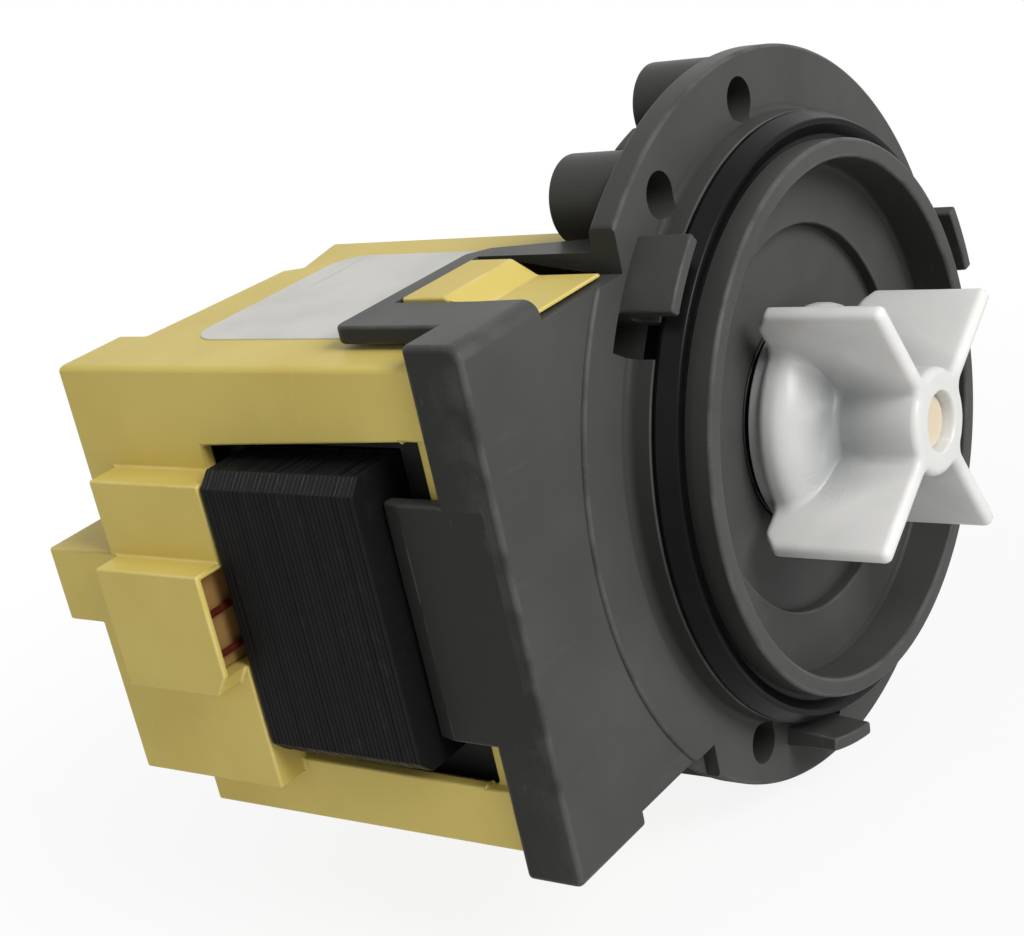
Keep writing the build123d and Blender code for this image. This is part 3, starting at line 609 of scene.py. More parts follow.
@dataclass
class Surface:
    """Points and faces of a surface, with the bend of each point."""

    points: np.ndarray
    faces: list[tuple[int, ...]]
    bend: np.ndarray

    @staticmethod
    def grid(
        points: np.ndarray, close_u: bool, close_v: bool, bend: np.ndarray | None = None
    ) -> "Surface":
        """Joins a grid of points with four-sided faces.

        Face (i, j) has the corners (i, j), (i+1, j), (i+1, j+1) and (i, j+1), with the index
        wrapped in a direction that closes.

        Args:
            points: array of shape (rows, columns, 3).
            close_u: whether the last row joins the first.
            close_v: whether the last column joins the first.
            bend: bend of each point, of shape (rows, columns).

        Returns:
            The surface.
        """
        rows, columns = points.shape[:2]
        row = np.arange(rows if close_u else rows - 1)
        column = np.arange(columns if close_v else columns - 1)
        i, j = np.meshgrid(row, column, indexing="ij")
        i2, j2 = (i + 1) % rows, (j + 1) % columns
        this, following = i * columns, i2 * columns
        quads = np.stack([this + j, following + j, following + j2, this + j2], -1).reshape(-1, 4)
        bend = np.zeros((rows, columns)) if bend is None else bend
        return Surface(points.reshape(-1, 3), [tuple(q) for q in quads.tolist()], bend.ravel())

    @staticmethod
    def turned(profile: Outline, segments: int = 160, centre: Span = (0.0, 0.0)) -> "Surface":
        """Turns a closed profile about the pump axis or a line beside it.

        A profile point (r, y) becomes (x0 + r·cos a, y, z0 + r·sin a) at each angle a.

        Args:
            profile: outline of radius and y.
            segments: number of angles round the axis.
            centre: x0 and z0 of the line.

        Returns:
            The surface of revolution.
        """
        circle = around(np.linspace(0, 2 * math.pi, segments, endpoint=False))
        radius, depth = profile.points.T
        flat = np.array(centre) + circle[:, None] * radius[None, :, None]
        bend = np.broadcast_to(profile.bend, flat.shape[:2])
        return Surface.grid(lift(flat, depth), True, True, bend)

    @staticmethod
    def prism(
        outline: Outline, axis: str, low: float, high: float, last: Outline | None = None
    ) -> "Surface":
        """Carries an outline straight along an axis and closes both ends.

        Args:
            outline: the outline in the other two axes, in the order x, y, z.
            axis: "x", "y" or "z".
            low: where it starts.
            high: where it ends.
            last: outline with as many points for the end, if it differs.

        Returns:
            The closed prism.
        """
        count = len(outline.points)
        ends = np.repeat([low, high], count)[:, None]
        flat = np.concatenate([outline.points, (last or outline).points])
        points = np.insert(flat, ["xyz".index(axis)], ends, axis=1).reshape(2, count, 3)
        bend = np.stack([outline.bend, outline.bend])
        return Surface.grid(points, False, True, bend).capped(count)

    @staticmethod
    def block(x: Span, y: Span, z: Span) -> "Surface":
        """A plain block between two places on each axis."""
        corners = [(x[0], y[0]), (x[1], y[0]), (x[1], y[1]), (x[0], y[1])]
        return Surface.prism(Outline.plain(corners), "z", *z)

    def capped(self, count: int) -> "Surface":
        """Returns the surface with a flat face on its first and its last so many points."""
        total = len(self.points)
        ends = [tuple(range(count)), tuple(range(total - count, total))]
        return Surface(self.points, self.faces + ends, self.bend)

    def mesh(self) -> bmesh.types.BMesh:
        """Makes an editable mesh in metres, with doubles merged and faces outwards.

        Returns:
            The mesh, with the numbers edge and crevice on its points.
        """
        flat = bpy.data.meshes.new("surface")
        flat.from_pydata((self.points * MM).tolist(), [], self.faces)
        made = bmesh.new()
        made.from_mesh(flat)
        bpy.data.meshes.remove(flat)
        outer, inner = add_marks(made)
        for vertex, bend in zip(made.verts, self.bend.tolist()):
            vertex[outer], vertex[inner] = max(bend, 0.0), max(-bend, 0.0)
        bmesh.ops.remove_doubles(made, verts=made.verts, dist=SAME_PLACE)
        bmesh.ops.recalc_face_normals(made, faces=made.faces)
        return made

    def build(self, name: str, smooth_angle: float = 40.0) -> bpy.types.Object:
        """Makes the Blender object, with edges sharper than so many degrees kept sharp."""
        return place_mesh(self.mesh(), name, smooth_angle)


def add_marks(made: bmesh.types.BMesh) -> tuple[Any, Any]:
    """Adds the numbers edge and crevice to the points of a mesh, and returns their layers."""
    return made.verts.layers.float.new("edge"), made.verts.layers.float.new("crevice")


def to_scene(name: str, data: bpy.types.ID) -> bpy.types.Object:
    """Makes an object from its mesh, lamp or camera and puts it into the scene."""
    made = bpy.data.objects.new(name, data)
    bpy.context.scene.collection.objects.link(made)
    return made


def place_mesh(made: bmesh.types.BMesh, name: str, smooth_angle: float = 50.0) -> bpy.types.Object:
    """Puts an editable mesh into the scene with smooth faces and sharp edges by angle.

    The number stored for the painted shade of the plastic says how far a face with the normal n
    looks to the front or up, towards the lamps: it is max(-n_y, n_z), and at least 0.

    Args:
        made: the finished mesh, which is freed.
        name: name of the object.
        smooth_angle: edges sharper than this many degrees stay sharp.

    Returns:
        The object.
    """
    mesh = bpy.data.meshes.new(name)
    made.to_mesh(mesh)
    made.free()
    mesh.polygons.foreach_set("use_smooth", np.ones(len(mesh.polygons), bool))
    mesh.set_sharp_from_angle(angle=math.radians(smooth_angle))
    normals = np.empty(3 * len(mesh.polygons), np.float32)
    sides = np.empty(len(mesh.polygons), np.int32)
    mesh.polygons.foreach_get("normal", normals)
    mesh.polygons.foreach_get("loop_total", sides)
    normals = normals.reshape(-1, 3)
    # How far each face looks towards the lamps; the plastic paints shade on faces turned away.
    open_side = np.repeat(np.clip(np.maximum(-normals[:, 1], normals[:, 2]), 0.0, 1.0), sides)
    stored = mesh.attributes.get("open_side") or mesh.attributes.new("open_side", "FLOAT", "CORNER")
    stored.data.foreach_set("value", open_side.astype(np.float32))
    piece = to_scene(name, mesh)
    weighted = piece.modifiers.new("even_shading", "WEIGHTED_NORMAL")
    weighted.keep_sharp = True
    weighted.weight = SHADING_WEIGHT
    return piece


def round_edges(made: bmesh.types.BMesh, radius: float, steps: int, least: float = 28.0) -> None:
    """Rounds the sharp edges of a mesh and marks the middle of each rounding.

    The numbers edge and crevice become 1 in the middle of a rounded outer or inner edge.

    Args:
        made: the mesh.
        radius: width of the rounding in metres.
        steps: number of faces across it.
        least: edges flatter than this many degrees stay as they are.
    """
    outer, inner = made.verts.layers.float["edge"], made.verts.layers.float["crevice"]
    flat = math.radians(least)
    sharp = [e for e in made.edges if e.is_manifold and e.calc_face_angle(0.0) > flat]
    result = bmesh.ops.bevel(
        made,
        geom=sharp,
        offset=radius,
        offset_type="OFFSET",
        segments=steps,
        profile=0.5,
        affect="EDGES",
        clamp_overlap=False,
        loop_slide=True,
    )
    arcs = set(result["faces"])
    made.normal_update()
    for vertex in made.verts:
        if vertex.link_faces and all(f in arcs for f in vertex.link_faces):
            others = [e.other_vert(vertex).co for e in vertex.link_edges]
            rise = (sum(others, Vector()) / len(others) - vertex.co).dot(vertex.normal)
            vertex[outer if rise < 0 else inner] = 1.0


def cut_out(made: bmesh.types.BMesh, cutters: Sequence[Surface]) -> bmesh.types.BMesh:
    """Cuts closed surfaces out of a mesh.

    Args:
        made: the mesh, which is freed.
        cutters: what is cut out of it.

    Returns:
        The mesh that is left.
    """
    mesh = bpy.data.meshes.new("cut_body")
    made.to_mesh(mesh)
    made.free()
    body = to_scene("cut_body", mesh)
    tools = [cutter.build("cutter") for cutter in cutters]
    for tool in tools:
        tool.modifiers.clear()
        cut = body.modifiers.new("cut", "BOOLEAN")
        cut.operation, cut.solver, cut.object = "DIFFERENCE", "EXACT", tool
    left = bmesh.new()
    left.from_mesh(body.evaluated_get(bpy.context.evaluated_depsgraph_get()).data)
    for used in (body, *tools):
        bpy.data.objects.remove(used)
    return left


class Shells:
    """Closed shells that together make one moulded piece."""

    def __init__(self) -> None:
        """Starts with no shell."""
        self.made = bmesh.new()
        add_marks(self.made)

    def add(
        self, surface: Surface, radius: float = 0.0, steps: int = 3, cutters: Sequence[Surface] = ()
    ) -> None:
        """Adds a shell.

        Args:
            surface: its closed surface.
            radius: rounding of its sharp edges in millimetres, 0 for none.
            steps: faces across a rounding.
            cutters: what is cut out of it after the rounding.
        """
        shell = surface.mesh()
        if radius:
            round_edges(shell, radius * MM, steps)
        if cutters:
            shell = cut_out(shell, cutters)
        mesh = bpy.data.meshes.new("shell")
        shell.to_mesh(mesh)
        shell.free()
        self.made.from_mesh(mesh)
        bpy.data.meshes.remove(mesh)

    def build(self, name: str) -> bpy.types.Object:
        """Makes the Blender object of all shells."""
        return place_mesh(self.made, name)


def rounded_copy(node: bpy.types.Object, name: str, radius: float, steps: int) -> bpy.types.Object:
    """Copies a CAD node with its sharp edges rounded.

    A point that the rounding leaves farther from the solid than its width returns to the solid.

    Args:
        node: the CAD node.
        name: name of the copy.
        radius: width of the rounding in metres.
        steps: faces across it.

    Returns:
        The copy, at the origin.
    """
    made = bmesh.new()
    made.from_mesh(node.data)
    add_marks(made)
    bmesh.ops.remove_doubles(made, verts=made.verts, dist=SAME_PLACE)
    bmesh.ops.dissolve_limit(
        made, angle_limit=math.radians(FLAT_DEGREES), verts=made.verts, edges=made.edges
    )
    solid = BVHTree.FromBMesh(made)
    round_edges(made, radius, steps)
    for vertex in made.verts:
        place, _, _, distance = solid.find_nearest(vertex.co)
        if distance > radius:
            vertex.co = place
    return place_mesh(made, name)


# ---------------------------------------------------------------- sub-assemblies


@dataclass
class Assembly:
    """Common work of the sub-assemblies: placing, dressing and riding."""

    frame: dict[str, Any]
    finishes: Finishes

    def dress_nodes(self, **nodes: Sequence[str]) -> None:
        """Gives CAD nodes their finish through their own material slots.

        Args:
            **nodes: names of the nodes by the slot name of their finish.
        """
        for slot, names in nodes.items():
            for name in names:
                for held in self.frame["nodes"][name].material_slots:
                    held.material = self.finishes.material(slot)
                LOG.info("node %s dressed in %s", name, slot)

    def stand_in(
        self, piece: bpy.types.Object, node: str, slot: str, body: Body = Body.PUMP
    ) -> None:
        """Dresses a piece and lets it take the place of a CAD node on its body."""
        piece.data.materials.clear()
        piece.data.materials.append(self.finishes.material(slot))
        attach(piece, body.value)
        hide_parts(node)
        LOG.info("piece %s stands for %s", piece.name, node)

    def soften(
        self, node: str, slot: str, radius: float, steps: int = 3, body: Body = Body.PUMP
    ) -> None:
        """Replaces a CAD node by its copy with edges rounded by a radius in millimetres."""
        piece = rounded_copy(self.frame["nodes"][node], node + "_looks", radius * MM, steps)
        self.stand_in(piece, node, slot, body)


@dataclass(frozen=True)
class SheetStack:
    """Outline of a stack of sheets, stacked along Y."""

    outline: np.ndarray
    front: float
    back: float
    seed: int
    sheets: int = 36
    groove: float = 0.16
    shift: float = 0.06
    rings: Triple = (0.0, 0.16, 0.84)

    def surface(self) -> Surface:
        """Builds the outer surface of the stack.

        Each sheet has three rings, at the listed shares of its pitch. The first moves inwards by
        the groove, and the others by that sheet's own small shift. Moving inwards by d takes a
        point to point - d·n, where n is the outward normal of the outline, lengthened at corners.

        Returns:
            The closed surface.
        """
        outline = self.outline
        before, after = np.roll(outline, 1, 0), np.roll(outline, -1, 0)

        def normal(step: np.ndarray) -> np.ndarray:
            """Right-hand normal of a step along the outline."""
            unit = step / np.linalg.norm(step, axis=1, keepdims=True)
            return np.stack([unit[:, 1], -unit[:, 0]], 1)

        first, second = normal(outline - before), normal(after - outline)
        outward = (first + second) / (1 + np.sum(first * second, 1, keepdims=True))
        shifts = np.random.default_rng(self.seed).uniform(0, self.shift, self.sheets)
        pitch = (self.back - self.front) / self.sheets
        inset = np.stack([np.full(self.sheets, self.groove), shifts, shifts], 1).ravel()
        steps = (np.arange(self.sheets)[:, None] + np.array(self.rings)).ravel()
        depth = steps * pitch + self.front
        inset, depth = np.append(inset, self.groove), np.append(depth, self.back)
        flat = outline[None] - inset[:, None, None] * outward[None]
        return Surface.grid(lift(flat, depth[:, None]), False, True).capped(len(outline))


@dataclass
class Stator(Assembly):
    """Housing, core, windings, terminals and label."""

    core_front: float = 17.1
    core_back: float = 40.7
    core_half: float = 18.75
    yoke_chamfer: float = 1.8
    leg_bottom: float = 7.5
    yoke_near: float = -66.5
    yoke_far: float = -57.5
    pole_far: float = 17.4
    pole_near: float = -15.6
    pole_gap: float = 1.8
    pole_corner: float = 0.2
    bore: float = 14.0
    bore_points: int = 40
    corner: float = 0.35
    yoke_seed: int = 3
    leg_seed: int = 5
    smooth_angle: float = 35.0

    def build(self) -> None:
        """Builds and dresses every piece of the stator."""
        self.soften("stator_housing", "yellow_plastic", 0.35)
        self.build_yoke()
        self.build_leg(1, "upper_core_leg")
        self.build_leg(-1, "lower_core_leg")
        self.soften("terminal_tabs", "tinned_brass", 0.08, 2)
        self.dress_nodes(
            bobbin_plastic=("upper_bobbin", "lower_bobbin"),
            copper_wire=("upper_winding", "lower_winding"),
            winding_tape=("upper_winding_tape", "lower_winding_tape"),
            cutout_case=("thermal_cutout",),
            strip_board=("terminal_strip",),
            red_wire=("link_wires",),
            label_paper=("rating_label",),
        )

    def build_stack(self, outline: np.ndarray, node: str, seed: int) -> None:
        """Builds the sheets of one outline, which stand for a CAD node."""
        stack = SheetStack(outline, self.core_front, self.core_back, seed)
        piece = stack.surface().build(node + "_sheets", self.smooth_angle)
        self.stand_in(piece, node, "black_laminations")

    def build_yoke(self) -> None:
        """Builds the yoke, which has two chamfered corners, from its sheets."""
        near, far, half, cut = self.yoke_near, self.yoke_far, self.core_half, self.yoke_chamfer
        places = [(far, -half), (far, half), (near + cut, half), (near, half - cut)]
        places += [(near, cut - half), (near + cut, -half)]
        outline = Outline.rounded([(*place, self.corner) for place in places], 4).points
        self.build_stack(outline, "core_yoke", self.yoke_seed)

    def build_leg(self, side: int, node: str) -> None:
        """Builds one pole leg from its sheets.

        The bore is the arc of its circle between the height of the pole gap on both sides.

        Args:
            side: 1 for the upper leg, -1 for the lower one.
            node: the CAD node that it stands for.
        """
        start = math.asin(self.pole_gap / self.bore)
        arc = self.bore * around(np.linspace(math.pi - start, start, self.bore_points))
        corners = [
            (self.pole_far, self.pole_gap, self.pole_corner),
            (self.pole_far, self.core_half, self.corner),
            (self.yoke_far, self.core_half, 0.0),
            (self.yoke_far, self.leg_bottom, 0.0),
            (self.pole_near, self.leg_bottom, self.pole_corner),
            (self.pole_near, self.pole_gap, self.pole_corner),
        ]
        outline = np.concatenate([Outline.rounded(corners, 4).points, arc]) * (1, side)
        self.build_stack(outline[::-side], node, self.leg_seed + side)


@dataclass
class Front(Assembly):
    """Front moulding with gasket and front bearing; the loop is listed as x, y and rounding."""

    cup_radius: float = 35.7
    cup_inside: float = 33.2
    cup_front: float = -9.05
    cup_floor: float = -2.5
    recess_radius: float = 25.2
    recess_floor: float = -0.5
    seat_radius: float = 38.4
    seat: float = -1.0
    boss_radius: float = 39.5
    boss_top: float = -3.4
    flange_radius: float = 48.0
    flange_back: float = 3.6
    rim_inside: float = 37.0
    floor_back: float = 1.6
    holder_radius: float = 13.9
    holder_seat: float = 1.1
    collar: Triple = (16.0, 3.4, 5.0)
    can: Triple = (12.5, 13.7, 45.4)
    pocket: Triple = (5.8, 7.0, 50.0)
    wall: float = 1.2
    hole_circle: float = 42.4
    hole_radius: float = 2.85
    hole_angles: tuple[float, ...] = (0.0, 90.0, 120.0, 240.0)
    tube_radius: float = 5.5
    tube_front: float = 0.35
    tube_back: float = 12.3
    sink: float = 0.4
    clips: int = 3
    clip_start: float = 8.6
    clip_turn: float = 13.2
    clip_outside: float = 43.2
    clip_thickness: Span = (1.7, 2.5)
    clip_front: float = -7.2
    clip_edge: float = 0.35
    notch_turn: float = 6.4
    catch_ring: Span = (39.6, 43.0)
    catch_arc: Span = (102.0, 7.0)
    catch_back: float = 10.2
    catch_edge: float = 0.3
    box_x: Span = (-62.8, -13.2)
    box_y: Span = (0.5, 8.5)
    box_z: Span = (-33.35, 33.25)
    box_step: Span = (-48.8, -31.0)
    box_wall: float = 2.3
    box_web: float = 2.6
    box_edge: float = 0.75
    hollow_z: Span = (-29.2, 30.95)
    window_x: Span = (-48.3, -31.7)
    window_slant: Span = (0.6, 1.5)
    window_back: float = 20.3
    window_floor: float = 30.6
    window_height: float = 20.0
    loop: tuple[Triple, ...] = (
        (-56.3, 6.5, 0.0), (-56.3, 23.3, 1.4), (-30.4, 23.3, 0.8), (-28.0, 20.9, 0.8),
        (-25.6, 6.5, 0.0),
    )
    loop_height: float = 2.2
    loop_edge: float = 0.4
    lug_y: Triple = (2.0, 14.4, 16.9)
    lug_z: Span = (-15.6, 14.6)
    lug_thickness: float = 2.2
    lug_slant: float = 0.6
    lug_edge: float = 0.45
    rim_pocket: Span = (-32.2, 2.0)
    beyond: float = 1.0
    ahead: float = -3.0
    hair: float = 0.002
    growths: Triple = (0.0, 0.02, 0.04)
    cup_fit: float = 0.02
    seat_fit: float = 0.01
    rim_fit: float = 0.05
    gasket_flap: float = 0.6
    gasket_top: float = -6.2
    ridge_inset: float = 0.1
    ridge_width: float = 0.7
    groove: Span = (0.6, 0.75)
    groove_drop: float = 0.6
    gasket_angle: float = 60.0
    segments: int = 240
    hole_segments: int = 48
    tube_segments: int = 56

    def build(self) -> None:
        """Builds and dresses every piece at the front."""
        self.build_moulding()
        self.build_gasket()
        self.soften("bearing_holder", "holder_plastic", 0.2)
        self.dress_nodes(
            bush_ceramic=("front_bush", "rear_bush"),
            seal_rubber=("holder_o_ring", "rear_bush_mount"),
        )

    def turned_profile(self) -> Outline:
        """Draws the half section of flange, boss, cup, floor and can, with each corner's radius."""
        collar_r, collar_y, cone_y = self.collar
        can_in, can_out, can_back = self.can
        pocket_in, pocket_out, pocket_back = self.pocket
        corners = [
            (can_in, self.holder_seat, 0.1),
            (self.holder_radius, self.holder_seat, 0.1),
            (self.holder_radius, self.recess_floor, 0.25),
            (self.recess_radius, self.recess_floor, 0.5),
            (self.recess_radius, self.cup_floor, 0.35),
            (self.cup_inside, self.cup_floor, 0.9),
            (self.cup_inside, self.cup_front, 0.55),
            (self.cup_radius, self.cup_front, 0.55),
            (self.cup_radius, self.seat, 0.0),
            (self.seat_radius, self.seat, 0.0),
            (self.seat_radius, self.boss_top, 0.25),
            (self.boss_radius, self.boss_top, 0.35),
            (self.boss_radius, 0.0, 1.2),
            (self.flange_radius, 0.0, 0.55),
            (self.flange_radius, self.flange_back, 0.55),
            (self.rim_inside, self.flange_back, 0.4),
            (self.rim_inside, self.floor_back, 0.6),
            (collar_r, self.floor_back, 0.5),
            (collar_r, collar_y, 0.3),
            (can_out, cone_y, 0.5),
            (can_out, can_back, 0.8),
            (pocket_out, can_back, 0.6),
            (pocket_out, pocket_back, 0.8),
            (0.0, pocket_back, 0.0),
            (0.0, pocket_back - self.wall, 0.0),
            (pocket_in, pocket_back - self.wall, 0.0),
            (pocket_in, can_back - self.wall, 0.0),
            (can_in, can_back - self.wall, 0.0),
        ]
        return Outline.rounded(corners, 6)

    def build_moulding(self) -> None:
        """Builds the grey moulding from its turned body, tubes, clips, catch, box, loop and lug."""
        shells = Shells()
        turns = [math.radians(angle) for angle in self.hole_angles]
        holes = [(self.hole_circle * math.cos(a), self.hole_circle * math.sin(a)) for a in turns]
        cutters = [*self.openings(self.growths[0]), self.pocket_cutter()]
        cutters += [self.hole_cutter(place) for place in holes]
        shells.add(Surface.turned(self.turned_profile(), self.segments), cutters=cutters)
        for place in holes:
            shells.add(self.tube(place))
        for angle in self.clip_angles():
            tip, root = (
                Outline.sector(self.clip_outside - width, self.clip_outside, angle, self.clip_turn)
                for width in self.clip_thickness
            )
            shells.add(Surface.prism(tip, "y", self.clip_front, self.sink, root), self.clip_edge)
        ring = Outline.sector(*self.catch_ring, *self.catch_arc)
        catch = Surface.prism(ring, "y", self.flange_back - self.sink, self.catch_back)
        shells.add(catch, self.catch_edge)
        self.add_box(shells)
        self.add_loop(shells)
        self.add_lug(shells)
        self.stand_in(shells.build("front_moulding_looks"), "front_moulding", "grey_plastic")

    def clip_angles(self) -> list[float]:
        """Returns where each clip starts, in degrees."""
        return [self.clip_start + 360.0 / self.clips * k for k in range(self.clips)]

    def pocket_cutter(self) -> Surface:
        """Cutter of the pocket in the flange's rim, below the box."""
        (near, high), (far, back) = self.box_step, self.rim_pocket
        low = -self.flange_radius - 2 * self.beyond
        return Surface.block((near, far), (self.ahead, back), (low, high))

    def hole_cutter(self, place: Span) -> Surface:
        """Cutter of a screw hole."""
        radius, front, back = self.hole_radius, self.ahead, self.tube_back + self.beyond
        profile = Outline.plain([(0.0, front), (radius, front), (radius, back), (0.0, back)])
        return Surface.turned(profile, self.hole_segments, place)

    def openings(self, growth: float) -> list[Surface]:
        """Cutters of the loop's window and of the openings beside the clips.

        Args:
            growth: how much larger they are, other for each shell, so that cut faces don't meet.

        Returns:
            The cutters, with the window first.
        """
        ring = (self.seat_radius - self.seat_fit - growth, self.clip_outside + growth)
        turn = self.notch_turn + 2 * growth
        low, high = self.boss_top - self.beyond, self.flange_back + self.beyond
        cutters = [self.window(growth)]
        for angle in self.clip_angles():
            notch = Outline.sector(*ring, angle + self.clip_turn - growth, turn)
            cutters.append(Surface.prism(notch, "y", low, high))
        return cutters

    def window(self, growth: float) -> Surface:
        """Cutter of the window in the snap loop, open to the front and larger by a growth."""
        near, far = self.window_x[0] - growth, self.window_x[1] + growth
        across, ahead = self.window_slant
        front, back = self.box_y[0] - ahead, self.window_back + growth
        corners = [(near, back), (near, self.box_y[1]), (near + across, front)]
        corners += [(far, front), (far, back)]
        low, high = self.window_floor - growth, self.box_z[1] + self.window_height
        return Surface.prism(Outline.plain(corners), "z", low, high)

    def tube(self, place: Span) -> Surface:
        """Screw tube behind the flange, rounded at its back."""
        corners = [
            (self.hole_radius, self.tube_front, 0.0),
            (self.tube_radius, self.tube_front, 0.0),
            (self.tube_radius, self.tube_back, 0.45),
            (self.hole_radius, self.tube_back, 0.3),
        ]
        return Surface.turned(Outline.rounded(corners), self.tube_segments, place)

    def add_box(self, shells: Shells) -> None:
        """Adds the bracket box to the moulding's shells."""
        (x0, x1), (y0, y1), (z0, z1) = self.box_x, self.box_y, self.box_z
        wall, more = self.box_wall, self.beyond
        side = Outline.rounded([(y0, z0, 1.1), (y1, z0, 0.0), (y1, z1, 0.0), (y0, z1, 2.0)], 8)
        hollow_y = (y0 + self.box_web, y1 + more)
        hollow = Surface.block((x0 + wall, x1 - wall), hollow_y, self.hollow_z)
        step_x, step_z = self.box_step
        step = Surface.block((step_x, x1 + more), (y0 - more, y1 + more), (z0 - more, step_z))
        cutters = [hollow, step, *self.openings(self.growths[1])]
        shells.add(Surface.prism(side, "x", x0, x1), self.box_edge, 4, cutters)

    def add_loop(self, shells: Shells) -> None:
        """Adds the snap loop over the housing, a hair below the top of the box."""
        top = self.box_z[1]
        outline = Outline.rounded(self.loop)
        loop = Surface.prism(outline, "z", top - self.loop_height, top - self.hair)
        shells.add(loop, self.loop_edge, cutters=[self.window(self.growths[2])])

    def add_lug(self, shells: Shells) -> None:
        """Adds the lug that reaches back to the yoke, two hairs outside the wall of the box."""
        near, far = self.box_x[0] - 2 * self.hair, self.box_x[0] + self.lug_thickness
        front, bent, back = self.lug_y
        corners = [(near, front, 0.0), (near, bent, 1.5), (near + self.lug_slant, back, 0.5)]
        corners += [(far, back, 0.3), (far, front, 0.0)]
        shells.add(Surface.prism(Outline.rounded(corners, 6), "z", *self.lug_z), self.lug_edge)

    def build_gasket(self) -> None:
        """Builds the gasket, which fills its groove, laps over the rim and rises to a lip."""
        inner, outer = self.cup_radius - self.cup_fit, self.seat_radius - self.seat_fit
        rim, lap = self.boss_radius - self.rim_fit, self.boss_top - self.cup_fit
        ridge, top = self.seat_radius - self.ridge_inset, self.gasket_top
        corners = [
            (inner, self.seat, 0.0),
            (outer, self.seat, 0.2),
            (outer, lap, 0.0),
            (rim, lap, 0.1),
            (rim, self.boss_top - self.gasket_flap, 0.3),
            (ridge, top, 0.35),
            (ridge - self.ridge_width, top, 0.3),
            (self.cup_radius + self.groove[0], top + self.groove[1], 0.5),
            (inner, top + self.groove_drop, 0.0),
        ]
        turned = Surface.turned(Outline.rounded(corners), self.segments)
        piece = turned.build("cup_gasket_lip", self.gasket_angle)
        self.stand_in(piece, "cup_gasket", "black_rubber")


@dataclass
class Rotor(Assembly):
    """Shaft, magnet and drive dog."""

    def build(self) -> None:
        """Dresses the pieces that turn with the shaft."""
        self.dress_nodes(
            steel=("rotor_shaft",),
            sleeve_plastic=("rotor_sleeve", "drive_dog"),
            ferrite=("rotor_magnet",),
            washer_plastic=("front_thrust_washer", "rear_thrust_washer"),
        )


